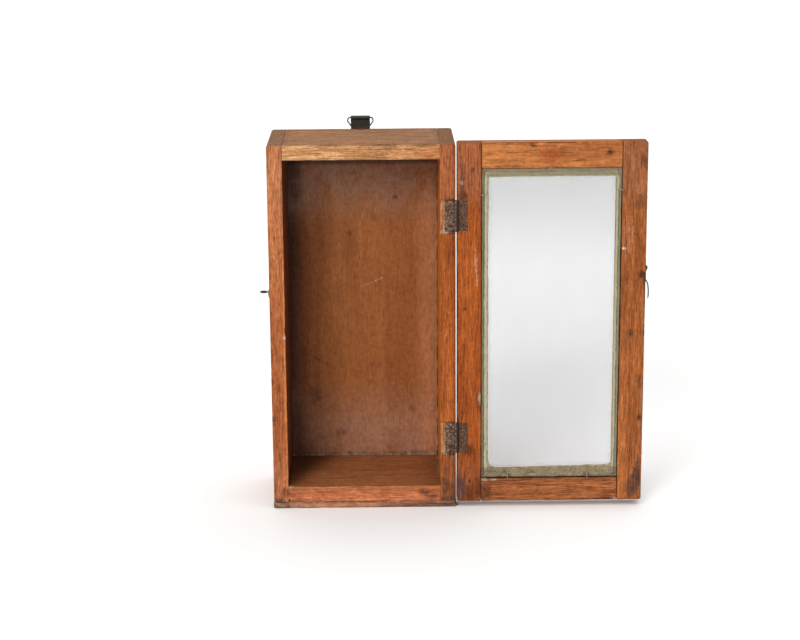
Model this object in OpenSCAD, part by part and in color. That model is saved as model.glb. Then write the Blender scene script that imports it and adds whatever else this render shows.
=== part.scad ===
// Small glazed wooden wall case with a putty-glazed door folded flat open beside it.
// The origin is on the underside of the base board, under the middle of the case:
// +X points to the hinged side, +Y to the back and +Z up.

/* [Case] */
// Width of the case over its side boards
case_w = 164.7; // [150:0.1:180]
// Depth of the case with its back panel
case_d = 95; // [85:0.5:110]
// Height of the case with its base board
case_h = 332; // [315:0.5:345]
// Thickness of the side boards and the top board
board_t = 13.5; // [12:0.1:14]
// Thickness of the bottom board
bottom_t = 14.3; // [12:0.1:16]
// Thickness of the base board under the carcass
base_t = 5.9; // [4:0.1:8]
// How far the base board stands proud of the carcass
base_proud = 0.4; // [0.1:0.1:0.6]
// Thickness of the back panel
back_t = 3; // [2.5:0.1:4]
// Width of the rebate that the back panel lies in
back_rebate = 6; // [5:0.1:7]

/* [Door] */
// Width of the door
door_w = 166.6; // [165:0.1:168]
// Height of the door
door_h = 327.6; // [320:0.1:328]
// Thickness of the door
door_t = 15; // [14:0.1:18]
// Height of the door's lower edge above the ground
door_z = 5.2; // [4:0.1:6]
// Face width of the hinge stile
hinge_stile_w = 21.3; // [18:0.1:24]
// Face width of the free stile
free_stile_w = 22; // [18:0.1:25]
// Face width of the top rail
top_rail_w = 22.7; // [21:0.1:25]
// Face width of the bottom rail
bottom_rail_w = 21.5; // [21:0.1:28]
// Width of the lip that the glass rests on
lip_w = 4.4; // [4:0.1:6]
// Depth of the glazing rebate from the door's inside face
rebate_depth = 9; // [8:0.1:10]

/* [Glazing] */
// Thickness of the glass
glass_t = 2; // [1.8:0.1:2.5]
// Width of the putty along the hinge stile
putty_hinge_w = 6.5; // [5.5:0.1:8]
// Width of the putty along the free stile
putty_free_w = 4.6; // [4.5:0.1:8]
// Width of the putty along the top rail
putty_top_w = 8.5; // [5.5:0.1:10]
// Width of the putty along the bottom rail
putty_bottom_w = 8.8; // [5.5:0.1:10]

/* [Hinges] */
// Gap between the case and the folded-back door
hinge_gap = 1.3; // [1.2:0.1:4.2]
// Length of a hinge leaf
leaf_l = 27; // [24:0.5:30]
// Width of a hinge leaf from the pin
leaf_w = 10; // [9:0.1:10.5]
// Height of the upper hinge's middle
upper_hinge_z = 268.4; // [240:0.1:280]
// Height of the lower hinge's middle
lower_hinge_z = 65.5; // [50:0.1:90]

/* [Latch] */
// Height of the hook's pivot screw
hook_z = 218.9; // [180:0.1:230]
// Length of the hook from its pivot to the bend of its tip
hook_l = 26; // [24:0.5:30]
// Length of the hook's tip
hook_tip_l = 5; // [4:0.5:6]
// Angle between the hook and the vertical when it sits in the screw eye
hook_engaged = 45; // [40:1:50]

/* [Hanger] */
// Sideways place of the hanger from the middle of the case
hanger_x = -1; // [-3:0.5:3]
// Width of the hanger plate
hanger_w = 17.5; // [14:0.5:20]
// Height of the ring's bar above the top of the case
hanger_rise = 10.4; // [10.4:0.1:14]

/* [Hidden] */
$fn = 48;

side_wood = "#a9622f";
front_wood = "#b87440";
panel_wood = "#7d4b2c";
door_wood = "#b0642e";
rusty_steel = "#4a3a33";
black_steel = "#2c2c2a";
brass = "#a08a58";
putty_grey = "#8d8a6c";

// A hole is this much wider in radius than the nail or screw in it
fit_slack = 0.05;
// A cut runs this far past the face that it leaves through
past = 1;

// Carcass planes
half_w = case_w / 2;
front_y = -case_d / 2;
back_y = case_d / 2;
inner_half_w = half_w - board_t;
floor_z = base_t + bottom_t;
ceiling_z = case_h - board_t;
base_corner_r = 2;
base_corner_steps = 5;
panel_slack = 0.3;

// Nails and pins: [shank radius, length, head radius, head thickness, depth the head is sunk]
carcass_nail = [0.8, 30, 1.5, 0.8, 0.3];
base_nail = [0.7, 16, 1.4, 0.7, 0.3];
panel_pin = [0.5, 10, 1.1, 0.5, 0.2];
carcass_nail_y = [-33, 0, 33];
base_nail_x = [-half_w + board_t / 2, 0, half_w - board_t / 2];
base_nail_y = [-24, 24];
panel_pin_z = [32, 122, 212, 302];
panel_pin_x = [-40, 40];

// Hinge sizes, measured from the hinge axis
axis_x = half_w + hinge_gap / 2;
axis_lead = 0.4;
axis_y = front_y - axis_lead;
leaf_t = 0.9;
knuckle_r = 1.8;
knuckle_play = 0.05;
pin_r = 0.85;
pin_bore_r = 0.9;
pin_head_r = 1.4;
pin_head_t = 0.5;
pin_end_clear = 0.15;
knuckle_clear_r = knuckle_r + 0.15;
leaf_slack = 0.1;
case_mortise_slack = 0.6;
leaf_screw_x = 5.5;
leaf_screw_z = 8.5;
leaf_screw_r = 1.2;
leaf_screw_head_r = 2.1;
leaf_screw_l = 9.5;
screw_tip_l = 2;
screw_tip_r = 0.3;

// Door planes
door_x = half_w + hinge_gap;
door_top = door_z + door_h;
free_edge_x = door_x + door_w;
rebate_left = door_x + hinge_stile_w;
rebate_right = free_edge_x - free_stile_w;
rebate_low = door_z + bottom_rail_w;
rebate_high = door_top - top_rail_w;
lip_y = front_y + rebate_depth;
door_outside_y = front_y + door_t;
tenon_l = 13;
tenon_t = 4.5;
tenon_shoulder = 4;
glass_slack = 1;
glass_y = lip_y - glass_t;
putty_wall_depth = 2;
putty_edge_t = 0.6;

// Glazing sprigs: [x, z, direction in degrees from +X towards +Z]
sprig_r = 0.5;
sprig_in_wood = 4;
sprig_l = 9;
sprig_y = front_y + 4;
sprigs = [
    [rebate_left, 286.6, 0],
    [rebate_left, 58.9, 0],
    [rebate_right, 290.1, 180],
    [rebate_left + 60.6, rebate_high, -142],
    [rebate_left + 24, rebate_low, 90],
    [rebate_left + 96, rebate_low, 90]
];

// Latch: the hook hangs from a screw in the door's free edge and drops into the screw eye
hook_wire_r = 0.6;
hook_loop_r = 2.6;
hook_y = (front_y + door_outside_y) / 2;
pivot_screw_r = 1.2;
pivot_head_r = 2.4;
pivot_head_t = 1.1;
pivot_screw_l = 10;
hook_side_play = 0.1;
hook_plane = hook_side_play + hook_wire_r;
loop_drop = hook_loop_r - hook_wire_r - pivot_screw_r - fit_slack;
hook_stand_off = 3.6;
hook_bend_above_eye = 1;
eye_wire_r = 0.65;
eye_ring_r = 2.7;
eye_reach = 5.4;
eye_stem_r = 0.6;
eye_thread_r = 0.9;
eye_thread_l = 10;
closed_hook_y = 2 * axis_y - hook_y;
eye_y = closed_hook_y + hook_l * sin(hook_engaged);
eye_z = hook_z - hook_l * cos(hook_engaged) - hook_bend_above_eye;
washer_r = 4.6;
washer_hole_r = 2.1;
washer_t = 0.5;
washer_dish = 1.1;
washer_drop = washer_hole_r - eye_stem_r - fit_slack;

// Hanger: a rolled steel strap on the back with a wire ring through its barrel
hanger_t = 1.1;
barrel_r = 1.8;
ring_wire_r = 0.6;
ring_bore_r = 0.68;
hanger_back_y = back_y + hanger_t;
barrel_y = hanger_back_y - barrel_r;
barrel_z = case_h + hanger_rise;
hanger_low_z = case_h - 14;
hanger_corner = 3;
hanger_screw_z = [case_h - 3.2, case_h - 9.8];
hanger_screw_r = 1.3;
hanger_screw_head_r = 2.6;
hanger_screw_head_t = 1.3;
hanger_screw_l = 13;
ring_bar_half = hanger_w / 2 + 0.4;
// Half of the ring outside the barrel, as [x, z] from the middle of its bar
ring_half = [[ring_bar_half - 0.5, 0], [10.4, -0.3], [12, -3], [8.4, -8.5], [4, -9.6]];
wire_sides = 10;
bend_steps = 5;

// ---------- shared shapes ----------

function unit(v) = v / norm(v);

// A path with each inner corner replaced by a short curve that starts and ends r from it
function rounded_path(path, r) = [
    path[0],
    for (i = [1:len(path) - 2])
        let (p = path[i], a = p + unit(path[i - 1] - p) * r, b = p + unit(path[i + 1] - p) * r)
        for (k = [0:bend_steps])
            let (t = k / bend_steps)
            (1 - t) * (1 - t) * a + 2 * t * (1 - t) * p + t * t * b,
    path[len(path) - 1]
];

// The direction of a path at one of its points
function path_direction(path, i) =
    unit(path[min(i + 1, len(path) - 1)] - path[max(i - 1, 0)]);

// A round wire of radius r along a path; no stretch of the path runs along aside
module wire(path, r, aside) {
    rings = [
        for (i = [0:len(path) - 1])
            let (d = path_direction(path, i), u = unit(cross(d, aside)), v = cross(d, u))
            for (k = [0:wire_sides - 1])
                path[i] + r * (cos(360 * k / wire_sides) * u + sin(360 * k / wire_sides) * v)
    ];
    last = (len(path) - 1) * wire_sides;
    walls = [
        for (i = [0:len(path) - 2])
            for (k = [0:wire_sides - 1])
                let (a = i * wire_sides, k2 = (k + 1) % wire_sides)
                [a + k, a + wire_sides + k, a + wire_sides + k2, a + k2]
    ];
    start_cap = [for (k = [0:wire_sides - 1]) k];
    end_cap = [for (k = [wire_sides - 1:-1:0]) last + k];
    polyhedron(rings, concat([start_cap], walls, [end_cap]), convexity = 4);
}

// A box from its lowest to its highest corner
module block(low, high) {
    translate(low) cube(high - low);
}

// A nail along +Z with its head's top at z = -sunk; slack widens it into its own hole
module nail(size, slack) {
    translate([0, 0, -size[1]])
        cylinder(h = size[1] - size[4] - size[3] / 2, r = size[0] + slack);
    translate([0, 0, -size[4] - size[3]])
        cylinder(h = size[3] + (slack > 0 ? size[4] + past : 0), r = size[2] + slack);
}

// ---------- nails of the case, each used for its own hole as well ----------

module carcass_nail_set(slack = 0) {
    for (side = [-1, 1])
        for (z = [base_t + bottom_t / 2, case_h - board_t / 2])
            for (y = carcass_nail_y)
                translate([side * half_w, y, z]) rotate([0, side * 90, 0]) nail(carcass_nail, slack);
}

module base_nail_set(slack = 0) {
    for (x = base_nail_x)
        for (y = base_nail_y)
            translate([x, y, 0]) rotate([180, 0, 0]) nail(base_nail, slack);
}

module panel_pin_at(x, z, slack) {
    translate([x, back_y, z]) rotate([-90, 0, 0]) nail(panel_pin, slack);
}

module panel_pin_set(slack = 0) {
    for (side = [-1, 1])
        for (z = panel_pin_z)
            panel_pin_at(side * (inner_half_w + back_rebate / 2), z, slack);
    for (x = panel_pin_x)
        for (z = [floor_z - back_rebate / 2, ceiling_z + back_rebate / 2])
            panel_pin_at(x, z, slack);
}

// The space of the back panel and its rebate
module back_rebate_space(slack = 0) {
    block([-inner_half_w - back_rebate + slack, back_y - back_t, floor_z - back_rebate + slack],
          [inner_half_w + back_rebate - slack, back_y + (slack > 0 ? 0 : past),
           ceiling_z + back_rebate - slack]);
}

// ---------- screws ----------

// A screw shank along +Y from y = 0, with a pointed end
module screw_shank(r, l) {
    rotate([-90, 0, 0]) {
        cylinder(h = l - screw_tip_l, r = r);
        translate([0, 0, l - screw_tip_l]) cylinder(h = screw_tip_l, r1 = r, r2 = screw_tip_r);
    }
}

// A countersunk slotted screw along +Y with its head flush at y = 0
module countersunk_screw() {
    difference() {
        union() {
            rotate([-90, 0, 0]) cylinder(h = leaf_t, r1 = leaf_screw_head_r, r2 = leaf_screw_r);
            translate([0, leaf_t, 0]) screw_shank(leaf_screw_r, leaf_screw_l - leaf_t);
        }
        translate([-leaf_screw_head_r, -past, -0.3]) cube([2 * leaf_screw_head_r, past + 0.35, 0.6]);
    }
}

module countersunk_hole() {
    rotate([-90, 0, 0])
        cylinder(h = leaf_t, r1 = leaf_screw_head_r + fit_slack, r2 = leaf_screw_r + fit_slack);
    translate([0, -past, 0]) rotate([-90, 0, 0])
        cylinder(h = leaf_screw_l + past, r = leaf_screw_r + fit_slack);
}

// Places children at the four screws of one side's leaves; side is -1 on the case, 1 on the door
module at_leaf_screws(side) {
    for (z = [upper_hinge_z, lower_hinge_z])
        for (dz = [-leaf_screw_z, leaf_screw_z])
            translate([axis_x + side * leaf_screw_x, front_y, z + dz]) children();
}

// A round-head slotted screw along +Y, with the underside of its head at y = 0
module round_head_screw(r, l, head_r, head_t) {
    dome_r = (head_r * head_r + head_t * head_t) / (2 * head_t);
    difference() {
        union() {
            screw_shank(r, l);
            rotate([90, 0, 0]) intersection() {
                translate([0, 0, head_t - dome_r]) sphere(r = dome_r);
                cylinder(h = head_t + past, r = head_r);
            }
        }
        translate([-head_r, -head_t - past, -0.3]) cube([2 * head_r, past + head_t / 2, 0.6]);
    }
}

module at_hanger_screws() {
    for (z = hanger_screw_z)
        translate([hanger_x, hanger_back_y, z]) rotate([0, 0, 180]) children();
}

module hanger_screw_holes() {
    at_hanger_screws() translate([0, -past, 0]) rotate([-90, 0, 0])
        cylinder(h = hanger_screw_l + past, r = hanger_screw_r + fit_slack);
}

module at_pivot_screw() {
    translate([free_edge_x + hook_plane + hook_wire_r + hook_side_play, hook_y, hook_z])
        rotate([0, 0, 90]) children();
}

// ---------- the case ----------

// The round hollows in both boards' edges that the knuckles and the pins' heads turn in
module knuckle_hollows() {
    for (z = [upper_hinge_z, lower_hinge_z])
        translate([axis_x, axis_y, z])
            cylinder(h = leaf_l + 2 * (pin_head_t + pin_end_clear), r = knuckle_clear_r, center = true);
}

module side_board(side) {
    difference() {
        block([min(side * half_w, side * inner_half_w), front_y, base_t],
              [max(side * half_w, side * inner_half_w), back_y, case_h]);
        back_rebate_space();
        carcass_nail_set(fit_slack);
        base_nail_set(fit_slack);
        panel_pin_set(fit_slack);
        if (side > 0) {
            for (z = [upper_hinge_z, lower_hinge_z])
                block([inner_half_w - past, front_y - past, z - leaf_l / 2 - case_mortise_slack],
                      [half_w + past, front_y + leaf_t, z + leaf_l / 2 + case_mortise_slack]);
            at_leaf_screws(-1) countersunk_hole();
            knuckle_hollows();
        }
        if (side < 0)
            translate([-half_w - past, eye_y, eye_z]) rotate([0, 90, 0])
                cylinder(h = eye_thread_l + past, r = eye_thread_r + fit_slack);
    }
}

module left_side() {
    color(side_wood) side_board(-1);
}

module right_side() {
    color(side_wood) side_board(1);
}

module top_board() {
    color(front_wood) difference() {
        block([-inner_half_w, front_y, ceiling_z], [inner_half_w, back_y, case_h]);
        back_rebate_space();
        carcass_nail_set(fit_slack);
        panel_pin_set(fit_slack);
        hanger_screw_holes();
    }
}

module bottom_board() {
    color(front_wood) difference() {
        block([-inner_half_w, front_y, base_t], [inner_half_w, back_y, floor_z]);
        back_rebate_space();
        carcass_nail_set(fit_slack);
        base_nail_set(fit_slack);
        panel_pin_set(fit_slack);
    }
}

module base_board() {
    w = case_w / 2 + base_proud - base_corner_r;
    d = case_d / 2 + base_proud - base_corner_r;
    corners = [[w, d], [-w, d], [-w, -d], [w, -d]];
    outline = [
        for (i = [0:3])
            for (k = [0:base_corner_steps])
                let (a = 90 * (i + k / base_corner_steps))
                corners[i] + base_corner_r * [cos(a), sin(a)]
    ];
    color(side_wood) difference() {
        linear_extrude(base_t) polygon(outline);
        base_nail_set(fit_slack);
    }
}

module back_panel() {
    color(panel_wood) difference() {
        back_rebate_space(panel_slack);
        panel_pin_set(fit_slack);
        hanger_screw_holes();
    }
}

module carcass_nails() {
    color(rusty_steel) carcass_nail_set();
}

module base_nails() {
    color(rusty_steel) base_nail_set();
}

module back_panel_pins() {
    color(rusty_steel) panel_pin_set();
}

// ---------- the hanger ----------

module hanger_plate() {
    half = hanger_w / 2;
    color(black_steel) translate([hanger_x, 0, 0]) difference() {
        union() {
            translate([0, hanger_back_y, 0]) rotate([90, 0, 0]) linear_extrude(hanger_t) polygon([
                [-half, barrel_z], [-half, hanger_low_z + hanger_corner],
                [-half + hanger_corner, hanger_low_z], [half - hanger_corner, hanger_low_z],
                [half, hanger_low_z + hanger_corner], [half, barrel_z]
            ]);
            translate([-half, barrel_y, barrel_z]) rotate([0, 90, 0])
                cylinder(h = hanger_w, r = barrel_r);
        }
        translate([-half - past, barrel_y, barrel_z]) rotate([0, 90, 0])
            cylinder(h = hanger_w + 2 * past, r = ring_bore_r);
        translate([-hanger_x, 0, 0]) hanger_screw_holes();
    }
}

module hanger_screws() {
    color(black_steel) at_hanger_screws()
        round_head_screw(hanger_screw_r, hanger_screw_l, hanger_screw_head_r, hanger_screw_head_t);
}

module hanger_ring() {
    right = [for (p = ring_half) [p[0], 0, p[1]]];
    left = [for (i = [len(ring_half) - 1:-1:0]) [-ring_half[i][0], 0, ring_half[i][1]]];
    color(black_steel) translate([hanger_x, barrel_y, barrel_z]) {
        translate([-ring_bar_half, 0, 0]) rotate([0, 90, 0])
            cylinder(h = 2 * ring_bar_half, r = ring_wire_r);
        wire(rounded_path(concat(right, left), 1.4), ring_wire_r - 0.02, [0, 1, 0]);
    }
}

// ---------- the hinges ----------

// One leaf round its axis; side is -1 for the case's leaf and 1 for the door's.
// The case's leaf has the two end knuckles and the door's has the middle one.
module hinge_leaf(side, z) {
    third = leaf_l / 3;
    own = side > 0 ? [0] : [-third, third];
    other = side > 0 ? [-third, third] : [0];
    translate([axis_x, axis_y, z]) difference() {
        union() {
            difference() {
                block([side > 0 ? 0 : -leaf_w, axis_lead, -leaf_l / 2],
                      [side > 0 ? leaf_w : 0, axis_lead + leaf_t, leaf_l / 2]);
                for (dz = other)
                    translate([0, 0, dz - third / 2]) cylinder(h = third, r = knuckle_clear_r);
            }
            for (dz = own)
                translate([0, 0, dz - third / 2 + knuckle_play])
                    cylinder(h = third - 2 * knuckle_play, r = knuckle_r);
        }
        translate([0, 0, -leaf_l]) cylinder(h = 2 * leaf_l, r = pin_bore_r);
        for (dz = [-leaf_screw_z, leaf_screw_z])
            translate([side * leaf_screw_x, axis_lead, dz]) countersunk_hole();
    }
}

module hinge_pin(z) {
    translate([axis_x, axis_y, z]) {
        translate([0, 0, -leaf_l / 2]) cylinder(h = leaf_l, r = pin_r);
        for (end = [-1, 1])
            translate([0, 0, end * (leaf_l / 2 + pin_head_t / 2)])
                cylinder(h = pin_head_t, r = pin_head_r, center = true);
    }
}

module upper_hinge_case_leaf() {
    color(rusty_steel) hinge_leaf(-1, upper_hinge_z);
}

module lower_hinge_case_leaf() {
    color(rusty_steel) hinge_leaf(-1, lower_hinge_z);
}

module upper_hinge_door_leaf() {
    color(rusty_steel) hinge_leaf(1, upper_hinge_z);
}

module lower_hinge_door_leaf() {
    color(rusty_steel) hinge_leaf(1, lower_hinge_z);
}

module upper_hinge_pin() {
    color(rusty_steel) hinge_pin(upper_hinge_z);
}

module lower_hinge_pin() {
    color(rusty_steel) hinge_pin(lower_hinge_z);
}

module case_hinge_screws() {
    color(rusty_steel) at_leaf_screws(-1) countersunk_screw();
}

module door_hinge_screws() {
    color(rusty_steel) at_leaf_screws(1) countersunk_screw();
}

// ---------- the door, folded back in the plane of the case's front ----------

// Tenons of both rails, or with slack the mortises that hold them
module tenons(slack) {
    for (span = [[door_z, rebate_low], [rebate_high, door_top]])
        block([rebate_left - tenon_l - slack, lip_y - tenon_t, span[0] + tenon_shoulder],
              [rebate_right + tenon_l + slack, lip_y, span[1] - tenon_shoulder]);
}

module sprig_set(slack = 0) {
    for (s = sprigs)
        translate([s[0], sprig_y, s[1]]) rotate([0, 90 - s[2], 0]) translate([0, 0, -sprig_in_wood])
            cylinder(h = sprig_l, r = sprig_r + slack);
}

module hinge_stile() {
    color(door_wood) difference() {
        union() {
            block([door_x, front_y, door_z], [rebate_left, door_outside_y, door_top]);
            block([door_x, lip_y, door_z], [rebate_left + lip_w, door_outside_y, door_top]);
        }
        tenons(fit_slack);
        sprig_set(fit_slack);
        for (z = [upper_hinge_z, lower_hinge_z])
            block([door_x - past, front_y - past, z - leaf_l / 2 - leaf_slack],
                  [axis_x + leaf_w + leaf_slack, front_y + leaf_t, z + leaf_l / 2 + leaf_slack]);
        at_leaf_screws(1) countersunk_hole();
        knuckle_hollows();
    }
}

module free_stile() {
    color(door_wood) difference() {
        union() {
            block([rebate_right, front_y, door_z], [free_edge_x, door_outside_y, door_top]);
            block([rebate_right - lip_w, lip_y, door_z], [free_edge_x, door_outside_y, door_top]);
        }
        tenons(fit_slack);
        sprig_set(fit_slack);
        translate([free_edge_x + past, hook_y, hook_z]) rotate([0, -90, 0])
            cylinder(h = pivot_screw_l + past, r = pivot_screw_r + fit_slack);
    }
}

// A rail between two heights, and the heights of its deeper layer, which has the lip
module rail(low, high, lip_low, lip_high) {
    difference() {
        union() {
            block([rebate_left, front_y, low], [rebate_right, lip_y, high]);
            block([rebate_left + lip_w, lip_y, lip_low],
                  [rebate_right - lip_w, door_outside_y, lip_high]);
            intersection() {
                tenons(0);
                block([door_x, front_y, low], [free_edge_x, door_outside_y, high]);
            }
        }
        sprig_set(fit_slack);
    }
}

module door_top_rail() {
    color(front_wood) rail(rebate_high, door_top, rebate_high - lip_w, door_top);
}

module door_bottom_rail() {
    color(front_wood) rail(door_z, rebate_low, door_z, rebate_low + lip_w);
}

module glass_pane() {
    color("#dfe6e6", 0.35)
        block([rebate_left + glass_slack, glass_y, rebate_low + glass_slack],
              [rebate_right - glass_slack, lip_y, rebate_high - glass_slack]);
}

// The putty frame: a bevel from the rebate's walls down to a thin edge on the glass
module glazing_putty() {
    skin = 0.01;
    sight_low = [rebate_left + putty_hinge_w, rebate_low + putty_bottom_w];
    sight_high = [rebate_right - putty_free_w, rebate_high - putty_top_w];
    mouth = 0.4;
    color(putty_grey) difference() {
        block([rebate_left, front_y + putty_wall_depth, rebate_low], [rebate_right, glass_y, rebate_high]);
        hull() {
            block([rebate_left + mouth, front_y + putty_wall_depth - skin, rebate_low + mouth],
                  [rebate_right - mouth, front_y + putty_wall_depth, rebate_high - mouth]);
            block([sight_low[0], glass_y - putty_edge_t, sight_low[1]],
                  [sight_high[0], glass_y - putty_edge_t + skin, sight_high[1]]);
        }
        block([sight_low[0], glass_y - 2 * putty_edge_t, sight_low[1]],
              [sight_high[0], glass_y + past, sight_high[1]]);
        sprig_set(fit_slack);
    }
}

module glazing_sprigs() {
    color(rusty_steel) sprig_set();
}

// ---------- the latch ----------

module hook_pivot_screw() {
    color(rusty_steel) at_pivot_screw()
        round_head_screw(pivot_screw_r, pivot_screw_l, pivot_head_r, pivot_head_t);
}

module latch_hook() {
    tip = hook_tip_l * [0, sin(hook_engaged), -cos(hook_engaged)];
    bend = [hook_stand_off, 0, -hook_l];
    path = [
        [hook_plane, 0, -loop_drop - hook_loop_r + 0.2],
        [hook_plane, 0, -10],
        [hook_stand_off - 0.8, 0, -14],
        bend,
        bend + tip
    ];
    color(rusty_steel) translate([free_edge_x, hook_y, hook_z]) {
        translate([hook_plane, 0, -loop_drop]) rotate([0, 90, 0])
            rotate_extrude() translate([hook_loop_r, 0]) circle(r = hook_wire_r);
        wire(rounded_path(path, 1.2), hook_wire_r - 0.02, [1, 0, 0]);
    }
}

module case_screw_eye() {
    color(rusty_steel) translate([-half_w, eye_y, eye_z]) {
        translate([-eye_reach, 0, 0]) rotate_extrude() translate([eye_ring_r, 0]) circle(r = eye_wire_r);
        translate([-eye_reach + eye_ring_r, 0, 0]) rotate([0, 90, 0])
            cylinder(h = eye_reach - eye_ring_r + 1, r = eye_stem_r);
        rotate([0, 0, -90]) screw_shank(eye_thread_r, eye_thread_l);
    }
}

module eye_washer() {
    color(brass) translate([-half_w, eye_y, eye_z - washer_drop]) rotate([0, -90, 0])
        rotate_extrude() polygon([
            [washer_hole_r, washer_dish], [washer_r, 0], [washer_r, washer_t],
            [washer_hole_r, washer_dish + washer_t]
        ]);
}

left_side();
right_side();
top_board();
bottom_board();
base_board();
back_panel();
carcass_nails();
base_nails();
back_panel_pins();
hanger_plate();
hanger_screws();
hanger_ring();
upper_hinge_case_leaf();
lower_hinge_case_leaf();
upper_hinge_pin();
lower_hinge_pin();
case_hinge_screws();
case_screw_eye();
eye_washer();
hinge_stile();
free_stile();
door_top_rail();
door_bottom_rail();
glass_pane();
glazing_putty();
glazing_sprigs();
upper_hinge_door_leaf();
lower_hinge_door_leaf();
door_hinge_screws();
hook_pivot_screw();
latch_hook();
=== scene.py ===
"""Looks of a small glazed wooden wall case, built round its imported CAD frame.

Every board, wire and strip of putty is modelled in millimetres in the frame of the CAD part,
and stands for its CAD node. Small turned parts keep their CAD node and get a finish."""

import math

import bmesh
import bpy
from mathutils import Matrix, Vector, noise


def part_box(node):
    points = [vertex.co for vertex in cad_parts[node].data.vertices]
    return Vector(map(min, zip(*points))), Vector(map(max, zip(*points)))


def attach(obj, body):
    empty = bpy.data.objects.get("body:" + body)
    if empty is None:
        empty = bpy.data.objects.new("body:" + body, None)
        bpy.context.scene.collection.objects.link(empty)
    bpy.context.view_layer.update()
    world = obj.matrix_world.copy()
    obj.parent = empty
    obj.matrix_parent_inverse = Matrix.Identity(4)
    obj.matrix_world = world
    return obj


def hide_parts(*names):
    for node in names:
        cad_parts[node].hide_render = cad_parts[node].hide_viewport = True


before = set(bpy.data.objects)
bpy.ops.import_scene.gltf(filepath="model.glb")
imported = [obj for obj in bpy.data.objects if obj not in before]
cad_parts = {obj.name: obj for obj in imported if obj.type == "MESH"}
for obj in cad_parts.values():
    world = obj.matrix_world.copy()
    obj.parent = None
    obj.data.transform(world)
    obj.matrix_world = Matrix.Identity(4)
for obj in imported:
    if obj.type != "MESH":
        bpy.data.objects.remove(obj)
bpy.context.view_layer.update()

MM = 0.001
SMOOTH_ANGLE = math.radians(32)
X, Y, Z = 0, 1, 2


# ---------- nodes ----------

class Graph:
    """The nodes of a material or of the world. Their inputs are sockets or values."""

    def __init__(self, tree):
        self.tree = tree

    def node(self, kind, *values, **settings):
        made = self.tree.nodes.new(kind)
        for key, value in settings.items():
            setattr(made, key, value)
        for i, value in enumerate(values):
            self.feed(made.inputs[i], value)
        return made

    def feed(self, socket, value):
        if isinstance(value, bpy.types.NodeSocket):
            self.tree.links.new(value, socket)
        elif value is not None:
            socket.default_value = value

    def math(self, operation, a, b=None, c=None):
        return self.node("ShaderNodeMath", a, b, c, operation=operation).outputs[0]

    def vector(self, operation, a, b=None, scale=None):
        made = self.node("ShaderNodeVectorMath", a, b, operation=operation)
        if scale is not None:
            self.feed(made.inputs["Scale"], scale)
        return made.outputs["Value" if operation in ("LENGTH", "DOT_PRODUCT") else "Vector"]

    def ramp(self, value, low, high, to_low=0.0, to_high=1.0):
        """A value, or the coordinate along an axis, eased from low..high onto to_low..to_high."""
        if isinstance(value, int):
            value = self.axes[value]
        if low > high:
            low, high, to_low, to_high = high, low, to_high, to_low
        return self.node("ShaderNodeMapRange", value, low, high, to_low, to_high,
                         interpolation_type="SMOOTHSTEP").outputs[0]


# ---------- camera, light and floor ----------

# the camera stands where the case and its open door have the proportions of the real view
CAMERA_PLACE = (18.21, -1756.615, 598.96)
CAMERA_PITCH, CAMERA_YAW, CAMERA_ROLL = 13.9296, 0.4948, -0.4392
CAMERA_LENS = 89.374


def make_camera():
    pitch, yaw, roll = (math.radians(a) for a in (CAMERA_PITCH, CAMERA_YAW, CAMERA_ROLL))
    ahead = Matrix(((1, 0, 0), (0, 0, -1), (0, 1, 0)))
    look = (Matrix.Rotation(roll, 3, "Z") @ Matrix.Rotation(pitch, 3, "X")
            @ Matrix.Rotation(-yaw, 3, "Y") @ ahead)
    turned = Matrix((look[0], -look[1], -look[2])).transposed()
    data = bpy.data.cameras.new("camera")
    data.sensor_width = 36
    data.lens = CAMERA_LENS
    data.clip_start, data.clip_end = 0.05, 60
    camera = bpy.data.objects.new("camera", data)
    camera.matrix_world = Matrix.Translation(Vector(CAMERA_PLACE) * MM) @ turned.to_4x4()
    bpy.context.scene.collection.objects.link(camera)
    bpy.context.scene.camera = camera


def make_sun(name, azimuth, elevation, strength, softness, colour=(1, 1, 1)):
    """A soft studio light; azimuth is measured from the front towards the left."""
    data = bpy.data.lights.new(name, "SUN")
    data.energy = strength
    data.angle = math.radians(softness)
    data.color = colour
    a, e = math.radians(azimuth), math.radians(elevation)
    source = Vector((-math.sin(a) * math.cos(e), -math.cos(a) * math.cos(e), math.sin(e)))
    light = bpy.data.objects.new(name, data)
    light.rotation_euler = source.to_track_quat("Z", "Y").to_euler()
    bpy.context.scene.collection.objects.link(light)


# strength of the surround, of the ceiling's middle, and of what a low view sees below the horizon
SURROUND, CEILING, BELOW_HORIZON = 0.12, 1.7, 1.4
CEILING_EDGE, CEILING_MIDDLE = 0.45, 0.95


def make_world():
    """A dim surround with a bright soft ceiling. Below the horizon, past the floor's end, it is
    as pale as the floor."""
    world = bpy.data.worlds.new("studio")
    bpy.context.scene.world = world
    world.use_nodes = True
    graph = Graph(world.node_tree)
    place = graph.node("ShaderNodeTexCoord")
    rise = graph.node("ShaderNodeSeparateXYZ", place.outputs["Generated"]).outputs["Z"]
    sky = graph.ramp(rise, CEILING_EDGE, CEILING_MIDDLE, SURROUND, CEILING)
    below = graph.math("LESS_THAN", rise, 0.0)
    background = graph.tree.nodes["Background"]
    background.inputs["Color"].default_value = (1, 1, 1, 1)
    graph.feed(background.inputs["Strength"], graph.math("MULTIPLY_ADD", below, BELOW_HORIZON, sky))


FLOOR_HALF = 90  # metres


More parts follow.
